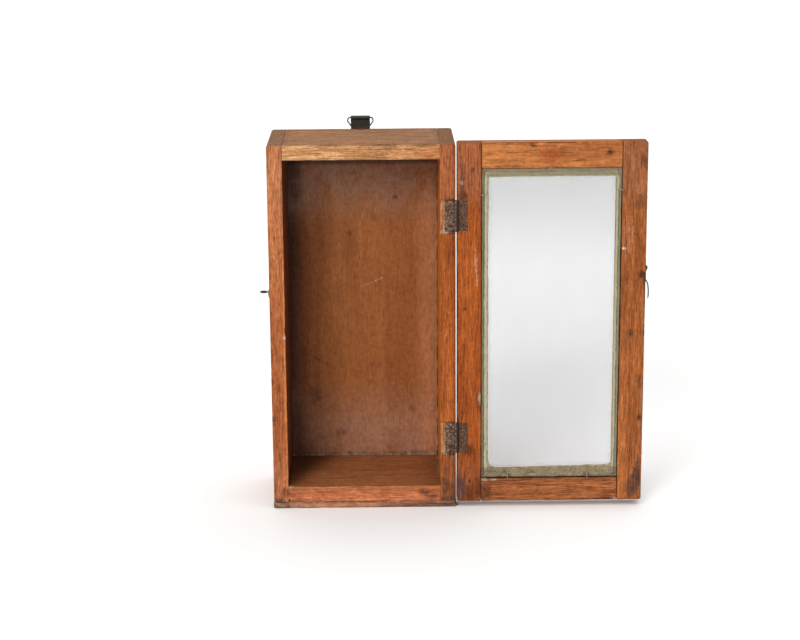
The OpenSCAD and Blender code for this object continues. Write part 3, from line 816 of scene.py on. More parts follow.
def bottom_board_finish():
    f = wood("bottom_wood", "bottom_board", X, srgb(184, 108, 67), 4.0, bands=0.4, streaks=0.55,
             lines=0.5, flecks=0.5,
             clouds=0.35, edges=0.35)
    upper = f.facing(Z, 1)
    f.coat((144, 94, 54), 0.75, upper)
    # painted shadow of the left side on the floor of the case, wider towards the back
    shadow_side = f.math("SUBTRACT", f.axes[X], f.math("MULTIPLY", f.axes[Y], 0.42))
    f.coat((56, 34, 26), 0.8, upper, f.ramp(shadow_side, -34, -66))
    f.coat((100, 62, 36), 0.45, upper, f.ramp(X, 40, bottom_high.x))
    f.coat((206, 136, 84), 0.4, f.between(Z, floor_z - 1.2, None, 0.4), f.facing(Y, -1))
    marks(f, (54, 14, 6, 3.2, f.soot, 0.75, 1.0),
             (60, 10, 5, 2.4, f.soot, 0.6, 1.1))
    stain(f, (bottom_low.x + 1, front, floor_z), (3, 4, 1.2), PALE_DUST, 0.8, ragged=0.9)
    stain(f, (bottom_low.x + 14, -36, floor_z), (7, 5, 4), f.soot, 0.4, ragged=0.9)
    seam(f, away_from(f, X, bottom_high.x), 1.6, (170, 140, 104), 0.7, upper)
    seam(f, away_from(f, Y, panel_low.y), 1.0, (40, 26, 18), 0.7, upper)
    return figured(f, 0.14)


def base_board_finish():
    f = wood("base_wood", "base_board", X, srgb(184, 130, 96), 5.0, bands=0.6, streaks=0.6,
             lines=0.5, clouds=0.6, edges=0.8)
    f.coat((112, 70, 58), 0.8, f.ramp(X, -20, 40), f.spots((0.03, 0.2, 0.3), 4, 0.6, 2, 0.4, 0.6))
    stain(f, (base_low.x + 5, front, 2), (10, 6, 6), shaded(GREY_DIRT, 1.1, 1.1, 0.9), 0.85)
    stain(f, (base_high.x - 4, front, 2), (9, 6, 5), shaded(GREY_DIRT, 1.1, 0.9, 0.9), 0.6)
    return figured(f)


def back_panel_finish():
    f = wood("panel_wood", "back_panel", Z, srgb(152, 91, 47), 6.0, rough=0.5, bands=0.35,
             streaks=0.12, lines=0.1,
             flecks=0.4, clouds=0.25, edges=0)
    inside = f.facing(Y, -1)
    # painted light: the upper part of the inside is painted lighter
    f.coat((170, 112, 70), 0.5, inside, f.ramp(Z, 225, 275))
    # painted shadow of the left side, dark towards the left
    f.coat((42, 26, 24), 0.88, inside, f.ramp(X, -44, -70))
    f.coat((138, 76, 36), 0.45, inside, f.between(X, 16, 48, 12))
    haze = f.grain((0.05, 0.05, 0.035), 5, 0.7, 2)
    f.coat((164, 128, 108), 0.75, inside, f.ramp(Z, 238, 286), f.ramp(haze, 0.3, 0.62), rough=0.8)
    f.coat((166, 122, 98), 0.75, inside, f.ramp(Z, 105, 35), f.ramp(haze, 0.15, 0.6, 0.4, 1.0),
           rough=0.8)
    f.coat((186, 122, 84), 0.6, inside, f.ramp(X, 44, 62), f.ramp(haze, 0.2, 0.55), rough=0.8)
    # painted shadow of the top board across the top of the panel
    f.coat((110, 70, 50), 0.6, inside, f.ramp(Z, 284, 318))
    f.coat((56, 34, 26), 0.65, inside, f.ramp(Z, 297.5, 302))
    # painted shade in the left corners, at the top and at the bottom
    at_left = f.times(inside, f.ramp(X, inner_left + 17, inner_left + 5))
    f.coat((34, 21, 18), 0.6, at_left, f.ramp(Z, 258, 274))
    f.coat((34, 20, 18), 0.5, at_left, f.ramp(Z, 85, 60))
    for x, z, wide, high, amount in ((-23, 43, 6, 4, 0.45), (30, 269, 2.2, 2.2, 0.7),
                                     (45, 67, 3, 3, 0.45),
                                     (-46, 80, 5, 8, 0.4), (10, 250, 3, 3, 0.3), (-12, 235, 2, 2,
                                                                                  0.5)):
        stain(f, (x, panel_low.y, z), (wide, MARK_DEPTH, high), f.soot, amount, ragged=1.1)
    for x0, z0, x1, z1, width, colour, amount in (
            (-3, 184.3, 19, 193.3, 0.6, (206, 168, 132), 0.75), (-26, 191, -26, 196, 0.5,
                                                                 (206, 168, 132), 0.5),
            (-62, 125, -30, 108, 1.2, f.soot, 0.4)):
        scratch(f, (x0, panel_low.y, z0), (x1, panel_low.y, z1), width, colour, amount)
    seam(f, f.math("SUBTRACT", f.axes[Z], floor_z + 0.8), 1.2, (176, 154, 126), 0.8, inside)
    seam(f, f.math("SUBTRACT", f.axes[Z], floor_z), 4.5, (86, 72, 58), 0.6, inside)
    seam(f, away_from(f, X, inner_right), 1.0, (52, 38, 24), 0.9, inside)
    f.coat((120, 96, 66), 0.3, inside, f.between(X, inner_right - 4.5, inner_right - 1.5, 0.8))
    return figured(f)


def rebate_gap_shade(f):
    """The walls behind the putty, painted near-black: painted shade in the narrow gap between putty
    and wood.
    """
    for axis, value, sign in ((X, rebate_left, 1), (X, rebate_right, -1), (Z, rebate_low, 1),
                              (Z, rebate_high, -1)):
        wall = f.times(f.ramp(away_from(f, axis, value), 1.0, 0.4),
                       f.between(Y, None, glass_low.y, 0.2), f.facing(axis, sign))
        f.coat((30, 22, 16), 0.85, wall)


def hinge_stile_finish():
    f = wood("hinge_stile_wood", "hinge_stile", Z, srgb(158, 79, 28), 7.0, bands=0.45, streaks=0.5,
             lines=0.7, clouds=0.3, edges=0.9)
    rebate_gap_shade(f)
    low = hinge_stile_low
    f.coat((156, 92, 58), 0.75, f.ramp(Z, 262, 296))
    f.coat((150, 82, 46), 0.6, f.ramp(Z, 56, 30))
    marks(f, (low.x + 4.5, 296, 2.6, 14, shaded(GREY_DIRT, 1.3, 1.0, 1.0), 0.6, 0.8),
             (low.x + 5.5, 286, 4, 4.5, f.soot, 0.75, 0.7),
             (low.x + 4, 297.5, 1.2, 1.6, PALE_DUST, 0.7),
             (low.x + 7, 184.5, 1.8, 1.5, f.soot, 0.85),
             (low.x + 13.8, 309, 1.6, 2, f.soot, 0.5),
             (low.x + 9, 54, 6, 5, f.soot, 0.7, 0.8),
             (low.x + 3.5, low.z + 12, 4.6, 13, (66, 56, 60), 0.85, 0.7),
             (low.x + 12, low.z + 7, 5, 9, f.soot, 0.6, 0.9),
             (low.x + 19, low.z + 12, 2.6, 10, f.soot, 0.75, 0.9),
             (low.x + 11.5, 24.5, 1.3, 1.8, f.soot, 0.8))
    for x, top, bottom in ((15.6, 240, 216), (17.0, 231, 204)):
        scratch(f, (low.x + x, front, top), (low.x + x + 0.6, front, bottom), 0.9, (206, 150, 132),
                0.5)
    stain(f, (rebate_left - 1, front, 101.5), (2, 4, 4.5), PALE_DUST, 0.7, ragged=0.9)
    return figured(f)


def free_stile_finish():
    f = wood("free_stile_wood", "free_stile", Z, srgb(163, 93, 46), 8.0, bands=0.5, streaks=0.6,
             lines=0.6, clouds=0.4, edges=0.8)
    rebate_gap_shade(f)
    high = free_stile_high
    f.coat((126, 68, 30), 0.6, f.between(X, high.x - 13, high.x - 5, 2),
           f.spots((0.1, 0.1, 0.01), 3, 0.6, 4, 0.4, 0.6))
    f.coat((148, 94, 62), 0.6, f.ramp(Z, 262, 300))
    marks(f, (rebate_right + 5.5, 250, 4.5, 17, (178, 110, 74), 0.7, 0.7))
    f.coat(f.soot, 0.7, f.near((rebate_right + 6, front, 252), (6, 3, 20), 0.5, 3),
           f.spots((0.7, 0.7, 0.45), 3, 0.6, 6, 0.55, 0.65), height=-0.15)
    marks(f, (rebate_right + 2.4, 238, 1.8, 1.1, (236, 196, 138), 0.95, 0.4),
             (high.x - 3.2, 315, 2.2, 5, f.soot, 0.6, 0.8),
             (high.x - 6, 280, 4, 7, f.soot, 0.45, 0.9),
             (high.x - 12.4, 161, 2.6, 4, f.soot, 0.7, 0.7),
             (high.x - 12.2, 160, 1.1, 1.4, GREY_DIRT, 0.9),
             (high.x - 3.6, 116, 2.2, 6, f.soot, 0.8, 0.7),
             (high.x - 3.4, 83, 2, 2.6, f.soot, 0.75),
             (high.x - 4.4, 28, 4, 13, (62, 48, 46), 0.9, 0.6),
             (high.x - 9, 17, 5, 9, (70, 54, 50), 0.8, 0.8),
             (high.x - 3.6, 214.5, 3, 3.4, f.soot, 0.95, 0.6),
             (high.x - 1, 208, 1.4, 7, f.soot, 0.9, 0.5))
    return figured(f)


def top_rail_finish():
    f = wood("top_rail_wood", "door_top_rail", X, srgb(187, 115, 61), 9.0, bands=0.7, streaks=0.4,
             lines=0.6, clouds=0.4, edges=0.8)
    rebate_gap_shade(f)
    high = top_rail_high
    f.coat((172, 104, 58), 0.5, f.ramp(X, 175, 215))
    marks(f, (165, 322, 9, 6, (168, 78, 34), 0.6, 0.7),
             (150.5, high.z - 1.5, 3.4, 2.6, f.soot, 0.85))
    marks(f, (217, 323.5, 7, 5.4, (176, 92, 40), 0.6, 0.4),
             (217, 323.5, 4, 3, (104, 60, 38), 0.85, 0.4),
             (217, 323.5, 1.6, 1.4, (58, 42, 38), 0.9, 0.4))
    marks(f, (145, high.z, 36, 1.1, f.soot, 0.65, 1.0),
             (128, rebate_high + 2, 16, 1.6, f.soot, 0.45, 1.0))
    return figured(f)


def bottom_rail_finish():
    f = wood("bottom_rail_wood", "door_bottom_rail", X, srgb(157, 92, 51), 10.0, waver=5.0,
             bands=0.5, streaks=0.8, lines=0.8, clouds=0.4, edges=0.7)
    rebate_gap_shade(f)
    low = bottom_rail_low
    marks(f, (rebate_left + 4, 12, 5.5, 9, f.soot, 0.7, 0.9))
    stain(f, (rebate_left + 2.5, front, rebate_low - 1.2), (3.4, 4, 1.2), PALE_DUST, 0.9,
          ragged=1.0)
    stain(f, (rebate_left + 11, front, rebate_low - 1.2), (3, 4, 0.9), PALE_DUST, 0.8, ragged=1.0)
    marks(f, (214, low.z + 1, 22, 1.1, f.soot, 0.8, 1.0),
             (rebate_right - 2, low.z + 1, 2.5, 1.5, PALE_DUST, 0.6, 1.0))
    return figured(f)


def spotted(name, colour, rough, metal, *coats):
    """A metal with coats of rust or dirt: colour, strength, spots, and what else they change."""
    f = Finish(name, srgb(*colour), rough, metal)
    for tint, amount, spots, changes in coats:
        f.coat(tint, amount, f.spots(*spots), **changes)
    return f


def rusty(name, seed, colour, dust):
    """Dark bronzed steel, spotted with rust and old dirt."""
    return spotted(name, colour, 0.5, 0.4,
                   (shaded(srgb(*colour), 0.6, 0.5, 0.5), 0.85, (0.35, 4, 0.6, seed, 0.42, 0.62),
                    {"rough": 0.8, "metal": 0.05}),
                   ((158, 110, 58), 0.8, (0.5, 3, 0.6, seed + 1, 0.56, 0.66),
                    {"rough": 0.9, "metal": 0.0}),
                   ((38, 24, 20), 0.9, (1.1, 4, 0.7, seed + 2, 0.5, 0.6),
                    {"rough": 0.9, "metal": 0.0, "height": -0.12}),
                   ((176, 152, 128), dust, (0.8, 3, 0.7, seed + 3, 0.56, 0.64),
                    {"rough": 0.95, "metal": 0.0, "height": 0.1}))


def hinge_material():
    """Rusty steel with a worn pattern of scrolls pressed into the leaves."""
    f = rusty("hinge_steel", 1, (104, 76, 60), 0.6)
    scroll = f.node("ShaderNodeTexVoronoi", f.p)
    scroll.inputs["Scale"].default_value = 0.3
    curl = f.math("SINE", f.math("ADD", f.math("MULTIPLY", scroll.outputs["Distance"], 12.0),
                                 f.math("MULTIPLY", f.grain(0.4, 3, 0.6, 53), 9.0)))
    f.coat((170, 140, 116), 0.7, f.ramp(curl, 0.45, 0.9), f.spots(0.3, 4, 0.6, 51, 0.36, 0.52),
           height=0.12)
    f.coat((44, 28, 22), 0.7, f.ramp(curl, -0.5, -0.95), height=-0.1)
    # the door's side is browner, and the gap beside the barrel gets a painted shadow
    low, high = box_mm("upper_hinge_pin")
    barrel_x = (low.x + high.x) / 2
    f.coat((82, 45, 18), 0.6, f.ramp(X, barrel_x - 2, barrel_x + 2))
    f.coat((34, 22, 20), 0.8, f.ramp(X, barrel_x - 0.8, barrel_x + 0.5),
           f.ramp(X, barrel_x + 3.0, barrel_x + 2.2))
    return f.done()


hinge_finish = hinge_material()
screw_finish = rusty("screw_steel", 11, (72, 54, 48), 0.25).done()
nail_finish = rusty("nail_steel", 21, (84, 66, 56), 0.2).done()
wire_finish = rusty("wire_steel", 31, (86, 72, 64), 0.3).done()
sprig_finish = spotted("sprig_steel", (150, 144, 136), 0.35, 0.5,
                       ((70, 54, 42), 0.8, (0.9, 3, 0.6, 3, 0.5, 0.62),
                        {"rough": 0.85, "metal": 0.0})).done()
black_finish = spotted("black_steel", (46, 46, 43), 0.42, 0.25,
                       ((66, 62, 54), 0.6, (0.5, 4, 0.65, 3, 0.5, 0.7),
                        {"rough": 0.7, "height": 0.04}),
                       ((100, 72, 50), 0.5, (1.6, 3, 0.6, 7, 0.62, 0.7), {"rough": 0.9})).done()
ring_finish = spotted("ring_steel", (58, 56, 52), 0.35, 0.35,
                      ((34, 31, 28), 0.8, (0.8, 4, 0.65, 3, 0.45, 0.65),
                       {"rough": 0.7, "metal": 0.1})).done()
brass_finish = spotted("brass", (176, 150, 100), 0.4, 0.7,
                       ((122, 104, 72), 0.8, (0.7, 4, 0.65, 4, 0.42, 0.62),
                        {"rough": 0.75, "metal": 0.1}),
                       ((72, 70, 50), 0.7, (1.4, 3, 0.6, 6, 0.6, 0.7),
                        {"rough": 0.9, "metal": 0.0})).done()


PUTTY_WIDTHS = {"left": 6.5, "right": 4.6, "top": 8.5, "bottom": 8.8}
PUTTY_CORNERS = {"bottom_left": 8.0, "bottom_right": 5.5, "top_right": 1.6, "top_left": 1.4}


def putty_material():
    f = Finish("putty", srgb(166, 158, 128), 0.9)
    sides = [away_from(f, X, rebate_left), away_from(f, X, rebate_right),
             away_from(f, Z, rebate_low), away_from(f, Z, rebate_high)]
    at_left, at_right = f.ramp(sides[0], 8, 6), f.ramp(sides[1], 7, 5)
    at_bottom, at_top = f.ramp(sides[2], 9.5, 8), f.ramp(sides[3], 9, 7)
    depth = f.math("ADD", f.least(*sides), f.swing(f.grain(0.15, 4, 0.65, 3), 2.4))

    def band(low, high, soft=0.5):
        return f.times(f.ramp(depth, low - soft, low + soft),
                       f.ramp(depth, high + soft, high - soft))

    f.coat((132, 126, 98), 0.7, f.spots(0.2, 5, 0.7, 5, 0.42, 0.6), height=0.15)
    f.coat((124, 122, 102), 0.8, f.ramp(depth, 3.0, 1.6))
    f.coat((206, 198, 166), 0.75, at_left, band(3.4, 5.6))
    f.coat((184, 178, 142), 0.7, at_right, band(2.6, 4.4))
    f.coat((136, 128, 102), 0.6, at_top)
    f.coat((160, 126, 96), 0.85, at_top, band(0.8, 3.0), f.ramp(X, 185, 160))
    f.coat((196, 188, 156), 0.6, at_top, f.ramp(depth, 7.2, 8.4))
    f.coat((130, 112, 88), 0.75, at_bottom)
    f.coat((98, 84, 62), 0.65, at_bottom, f.spots((0.1, 0.2, 0.25), 4, 0.65, 9, 0.46, 0.62))
    f.coat((168, 156, 128), 0.5, at_bottom, f.spots((0.12, 0.25, 0.25), 4, 0.65, 12, 0.55, 0.66))
    # a crack along the wood, and one further in
    f.coat((66, 54, 42), 0.85, f.math("MAXIMUM", at_left, at_right),
           f.spots((0.3, 0.3, 0.045), 3, 0.6, 15, 0.4, 0.5), band(2.3, 2.9, 0.4), height=-0.3)
    f.coat((84, 78, 58), 0.7, at_top, band(3.3, 3.8, 0.4),
           f.spots((0.045, 0.3, 0.3), 3, 0.6, 16, 0.42, 0.52), height=-0.2)
    f.coat((206, 198, 172), 0.6, f.spots(0.7, 3, 0.7, 17, 0.6, 0.68))
    f.coat((66, 58, 44), 0.75, f.spots(0.8, 3, 0.6, 7, 0.6, 0.68), height=-0.15)
    # painted shade: a dark line along the putty's edge at the wood, the shadow of the gap
    f.coat((40, 34, 26), 0.8, f.ramp(depth, 0.7, 0.2))
    f.raise_by(f.grain(1.4, 4, 0.6, 2), 0.2)
    return f.done(specular=0.15)


def glass_material():
    """Old window glass: a faint grey tint, a film of dirt near the putty, and reflections."""
    f = Finish("old_glass", (0.9, 0.9, 0.9), 0.9)
    f.tree.nodes.remove(f.shader)
    sides = [away_from(f, X, rebate_left + PUTTY_WIDTHS["left"]),
             away_from(f, X, rebate_right - PUTTY_WIDTHS["right"]),
             away_from(f, Z, rebate_low + PUTTY_WIDTHS["bottom"]),
             away_from(f, Z, rebate_high - PUTTY_WIDTHS["top"])]
    edge = f.least(*sides)
    smear = f.grain((0.03, 0.03, 0.02), 4, 0.6, 3)
    # the pane's clear tint darkens towards the top, unevenly
    haze = f.math("ADD", f.math("MULTIPLY", f.ramp(Z, 215, 310), 0.13),
                  f.math("MULTIPLY", smear, 0.04))
    tint = f.mix(haze, (0.905, 0.905, 0.908), (0.0, 0.0, 0.0))
    clear = f.node("ShaderNodeBsdfTransparent", tint)
    dirt = f.node("ShaderNodeBsdfDiffuse", (0.62, 0.6, 0.54, 1))
    uneven = f.math("ADD", edge, f.math("MULTIPLY", f.grain(0.2, 4, 0.7, 6), 4.0))
    film = f.math("MULTIPLY", f.ramp(uneven, 7.0, 1.5), 0.16)
    dusty = f.node("ShaderNodeMixShader", film, clear.outputs[0], dirt.outputs[0])
    shine = f.node("ShaderNodeBsdfGlossy", (1, 1, 1, 1))
    shine.inputs["Roughness"].default_value = 0.04
    turned = f.node("ShaderNodeLayerWeight", 0.5).outputs["Facing"]
    share = f.math("MULTIPLY_ADD", f.math("POWER", turned, 5.0), 0.9, 0.035)
    whole = f.node("ShaderNodeMixShader", share, dusty.outputs[0], shine.outputs[0])
    f.tree.links.new(whole.outputs[0], f.tree.nodes["Material Output"].inputs["Surface"])
    return f.material


# ---------- the case ----------

PAST = 3  # how far a cutter reaches past the wood
NAIL_HOLE_R, NAIL_HOLE_DEPTH = 1.6, 1.1
PIN_HOLE_R = 1.2
NAIL_REACH = 0.8
WELD = 0.01
REBATE_ROOM = 0.3
# mortises: their depth, and the room above and below a leaf in the case and in the door
MORTISE_DEPTH = 0.9
CASE_LEAF_ROOM, DOOR_LEAF_ROOM = 0.6, 0.1
SIDE_NOSE_R, HINGE_STILE_NOSE_R, FREE_STILE_NOSE_R = 2.2, 1.6, 1.8


def nail_places(node, axis, value):
    """Middles of a node's separate parts that reach a plane across an axis, in mm."""
    parts = bmesh.new()
    parts.from_mesh(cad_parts[node].data)
    bmesh.ops.remove_doubles(parts, verts=parts.verts, dist=WELD * MM)
    seen, places = set(), []
    for start in parts.verts:
        if start in seen:
            continue
        seen.add(start)
        group = [start]
        for v in group:  # grows as neighbours are found
            found = [w for w in (e.other_vert(v) for e in v.link_edges) if w not in seen]
            seen.update(found)
            group += found
        spots = [v.co / MM for v in group]
        low, high = (Vector([pick(p[i] for p in spots) for i in range(3)]) for pick in (min, max))
        if low[axis] - NAIL_REACH <= value <= high[axis] + NAIL_REACH:
            middle = (low + high) / 2
            middle[axis] = value
            places.append(middle)
    parts.free()
    return places


def nail_holes(node, axis, value, radius=NAIL_HOLE_R):
    return [round_shape(p, axis, radius, NAIL_HOLE_DEPTH) for p in nail_places(node, axis, value)]


KNUCKLE_HOLLOW_R = 1.95
KNUCKLE_HOLLOW_HALF = 14.15


def knuckle_hollows():
    """Hollows in the wood round the hinge barrels."""
    shapes = []
    for pin in ("upper_hinge_pin", "lower_hinge_pin"):
        low, high = box_mm(pin)
        shapes.append(round_shape((low + high) / 2, Z, KNUCKLE_HOLLOW_R, KNUCKLE_HOLLOW_HALF, 32))
    return shapes


# an empty nail hole in the seam of the left side and the bottom
open_nail_hole = round_shape((inner_left + 0.6, front, 7.4), Y, 0.9, 7, 14)


def side(name, low, high, material, seed, chips):
    """A side board with the rebate for the panel, and on the right with the hinge mortises."""
    at_left = low.x < 0
    outer, inner, toward = (low.x, high.x, 1) if at_left else (high.x, low.x, -1)
    board = box_board(name, material, low, high, Z, seed, chips=chips,
                      nose=((0, 3) if at_left else (1, 2), SIDE_NOSE_R))
    rebate_x = panel_low.x - REBATE_ROOM if at_left else panel_high.x + REBATE_ROOM
    x0, x1 = sorted((rebate_x, inner + toward * PAST))
    shapes = nail_holes("carcass_nails", X, outer)
    shapes.append(block_shape((x0, panel_low.y, panel_low.z - REBATE_ROOM),
                              (x1, back + PAST, panel_high.z + REBATE_ROOM)))
    if at_left:
        return cut(board, shapes + [open_nail_hole])
    for leaf_low, leaf_high in ((upper_leaf_low, upper_leaf_high),
                                (lower_leaf_low, lower_leaf_high)):
        shapes.append(block_shape(
            (low.x - PAST, front - PAST, leaf_low.z - CASE_LEAF_ROOM),
            (high.x + PAST, front + MORTISE_DEPTH, leaf_high.z + CASE_LEAF_ROOM)))
    return cut(cut(board, shapes), knuckle_hollows())


keep(side("left_board", left_low, left_high, left_side_finish(), 1,
          [(0, 213.5, 5, 0.9), (0, 118, 4, 0.8), (0, 83, 3, 0.8), (1, 163, 9, 1.3),
           (1, 24, 6, 1.0)]),
     "case", "side_wood", "left_side")
keep(side("right_board", right_low, right_high, right_side_finish(), 2,
          [(0, lower_leaf_low.z - 2, 6, 1.2), (1, 14, 8, 0.8), (0, 12, 12, 0.9)]),
     "case", "side_wood", "right_side")


def cross_board(name, low, high, material, seed, notch_low, notch_high, chips=(), more=()):
    """A board between the sides, notched at the back for the panel."""
    board = box_board(name, material, low, high, X, seed, chips=chips)
    return cut(board, [block_shape((low.x - PAST, panel_low.y, notch_low),
                                   (high.x + PAST, back + PAST, notch_high)), *more])


keep(cross_board("top", top_low, top_high, top_board_finish(), 3, ceiling_z - PAST,
                 panel_high.z + REBATE_ROOM, [(3, 26, 30, 0.7), (3, 60, 12, 0.8)]),
     "case", "case_wood", "top_board")
keep(cross_board("bottom", bottom_low, bottom_high, bottom_board_finish(), 4,
                 panel_low.z - REBATE_ROOM, floor_z + PAST,
                 [(3, bottom_low.x + 2, 7, 1.2), (3, bottom_high.x - 3, 8, 1.0)], [open_nail_hole]),
     "case", "case_wood", "bottom_board")
base = box_board("base", base_board_finish(), base_low, base_high, Z, 5, arris=2.8, end_arris=1.1,
                 step=1.3, waves=0.25)
keep(cut(base, nail_holes("base_nails", Z, base_low.z)), "case", "base_wood", "base_board")
panel = box_board("panel", back_panel_finish(), panel_low, panel_high, Z, 6, arris=0.3,
                  end_arris=0.3, step=6)
keep(cut(panel, nail_holes("back_panel_pins", Y, back, PIN_HOLE_R)),
     "case", "panel_wood", "back_panel")

# ---------- the door ----------

stile = [(hinge_stile_low.x, front), (rebate_left, front), (rebate_left, lip_y),
         (hinge_stile_high.x, lip_y), (hinge_stile_high.x, door_back),
         (hinge_stile_low.x, door_back)]
board = sweep_board("hinge_side_stile", hinge_stile_finish(), stile, Z, hinge_stile_low.z,
                    hinge_stile_high.z, 7, nose=((0, 5), HINGE_STILE_NOSE_R),
                    chips=[(1, 101.5, 9, 1.0), (1, 30, 8, 0.8), (0, 20, 20, 0.7)])
mortises = []
for leaf in ("upper_hinge_door_leaf", "lower_hinge_door_leaf"):
    leaf_low, leaf_high = box_mm(leaf)
    mortises.append(block_shape(
        (hinge_stile_low.x - PAST, front - PAST, leaf_low.z - DOOR_LEAF_ROOM),
        (leaf_high.x + DOOR_LEAF_ROOM, front + MORTISE_DEPTH, leaf_high.z + DOOR_LEAF_ROOM)))
keep(cut(cut(board, mortises), knuckle_hollows()), "door", "door_wood", "hinge_stile")
stile = [(rebate_right, front), (free_stile_high.x, front), (free_stile_high.x, door_back),
         (free_stile_low.x, door_back), (free_stile_low.x, lip_y), (rebate_right, lip_y)]
keep(sweep_board("free_side_stile", free_stile_finish(), stile, Z, free_stile_low.z,
                 free_stile_high.z, 8, nose=((1, 2), FREE_STILE_NOSE_R),
                 chips=[(0, 238, 5, 1.3), (0, 262, 8, 0.6), (0, 210, 12, 0.5), (1, 70, 10, 0.6)]),
     "door", "door_wood", "free_stile")

JOINT_GAP = 0.35
PAST_RAIL = 9


def rail(name, material, low, high, seed, top, chips=()):
    """A rail between the stiles, with a rebate for the glass and a tenon at each end."""
    if top:
        section = [(front, rebate_high), (lip_y, rebate_high), (lip_y, rebate_high - lip),
                   (door_back, rebate_high - lip), (door_back, high.z), (front, high.z)]
    else:
        section = [(front, low.z), (door_back, low.z), (door_back, rebate_low + lip),
                   (lip_y, rebate_low + lip), (lip_y, rebate_low), (front, rebate_low)]
    board = sweep_board(name, material, section, X, rebate_left + JOINT_GAP,
                        rebate_right - JOINT_GAP, seed, end_arris=0.7, chips=chips)
    return cut(board, [block_shape((x0, lip_y, low.z - PAST_RAIL),
                                   (x1, door_back + PAST, high.z + PAST_RAIL))
                       for x0, x1 in ((rebate_left - PAST, rebate_left + lip),
                                      (rebate_right - lip, rebate_right + PAST))])


keep(rail("upper_rail", top_rail_finish(), top_rail_low, top_rail_high, 9, True,
          [(5, 150, 10, 0.8), (5, 120, 16, 0.6), (0, 130, 12, 0.4)]),
     "door", "rail_wood", "door_top_rail")
keep(rail("lower_rail", bottom_rail_finish(), bottom_rail_low, bottom_rail_high, 10, False,
          [(5, rebate_left + 4, 7, 0.7), (0, 214, 30, 0.6)]),
     "door", "rail_wood", "door_bottom_rail")

glass = box_board("pane", glass_material(), glass_low, glass_high, Z, 11, arris=0.15,
                  end_arris=0.15, step=6, waves=0.008)
keep(glass, "door", "glass", "glass_pane")

PUTTY_TURNS, PUTTY_STEP = 6, 2.5


def putty_outline():
    """Points of the sight edge with their outward directions, anticlockwise from the bottom
    left."""
    x0, x1 = rebate_left + PUTTY_WIDTHS["left"], rebate_right - PUTTY_WIDTHS["right"]
    z0, z1 = rebate_low + PUTTY_WIDTHS["bottom"], rebate_high - PUTTY_WIDTHS["top"]
    corners = []
    for x, z, name, angle in ((x0, z0, "bottom_left", 180), (x1, z0, "bottom_right", 270),
                              (x1, z1, "top_right", 0), (x0, z1, "top_left", 90)):
        r = PUTTY_CORNERS[name]
        wall = (rebate_left if x == x0 else rebate_right, rebate_low if z == z0 else rebate_high)
        centre = (x + r if x == x0 else x - r, z + r if z == z0 else z - r)
        corners.append((centre, r, angle, wall))
    outline = []
    for i, ((cx, cz), r, angle, wall) in enumerate(corners):
        wall = Vector(wall)
        to_corner = math.degrees(math.atan2(wall.y - cz, wall.x - cx)) % 360
        turns = sorted({angle + 90 * k / PUTTY_TURNS for k in range(PUTTY_TURNS + 1)} | {to_corner})
        outline += [(Vector((cx, cz)) + r * d, d) for d in map(turn, turns)]
        start, out = outline[-1]
        centre, next_r = corners[(i + 1) % 4][:2]
        end = Vector(centre) + next_r * out
        runs = round((end - start).length / PUTTY_STEP)
        outline += [(start.lerp(end, k / runs), out) for k in range(1, runs)]
    return outline


def putty_ring():
    """A hand-pressed bevel from the rebate's walls down to the glass."""
    wall_y, glass_y = front + 2.1, glass_low.y
    across = [0.0, 0.06, 0.16, 0.3, 0.42, 0.5, 0.6, 0.75, 0.9, 0.97, 1.0]
    points, faces = [], []
    outline = putty_outline()
    for p, out in outline:
        reaches = []
        if abs(out.x) > 1e-6:
            reaches.append(((rebate_right if out.x > 0 else rebate_left) - p.x) / out.x)
        if abs(out.y) > 1e-6:
            reaches.append(((rebate_high if out.y > 0 else rebate_low) - p.y) / out.y)
        reach = min(reaches)
        spot = (p.x, 0, p.y)
        tilt = (p.x - rebate_left) / (rebate_right - rebate_left) if out.y < -0.5 else 0.0
        edge = p + out * (0.35 * hum(spot, 11, 3) + 0.25 * hum(spot, 4, 5))
        edge += Vector((0, tilt * 2.3 - 0.9 if out.y < -0.5 else 0.0))
        gap = max(0.1, 0.6 + 0.35 * hum(spot, 16, 7) + 0.2 * hum(spot, 5, 17))
        wall = p + out * (reach - gap)
        high_y = wall_y + 0.5 * hum(spot, 20, 9)
        low_y = glass_y - 0.35 + 0.12 * hum(spot, 5, 2)
        for t in across:
            q = wall.lerp(edge, t)
            y = high_y + (low_y - high_y) * t ** 0.9
            y -= 0.45 * math.exp(-((t - 0.62) / 0.16) ** 2) * (1 + 0.6 * hum(spot, 9, 4))
            y += 0.3 * math.exp(-((t - 0.42) / 0.08) ** 2)
            y += 0.22 * hum((q.x, 0, q.y), 3.2, 6) * math.sin(math.pi * min(1, t + 0.08))
            y = min(y, glass_y - 0.15)
            if t == 0.0:
                y += 0.35
            points.append((q.x, y, q.y))
        points.append((edge.x, glass_y, edge.y))
        points.append((wall.x, glass_y, wall.y))
    row = len(across) + 2
    count = len(outline)
    for i in range(count):
        faces += strip(i * row, (i + 1) % count * row, row)
    return to_object("putty", points, faces, putty_material())


keep(putty_ring(), "door", "putty", "glazing_putty")


def wire_piece(name, material, *shapes):
    return to_object(name, *joined(shapes), material)


SPRIG_R = 0.52
SPRIG_SHOWS, LONG_SPRIG_SHOWS = 4.6, 5.6


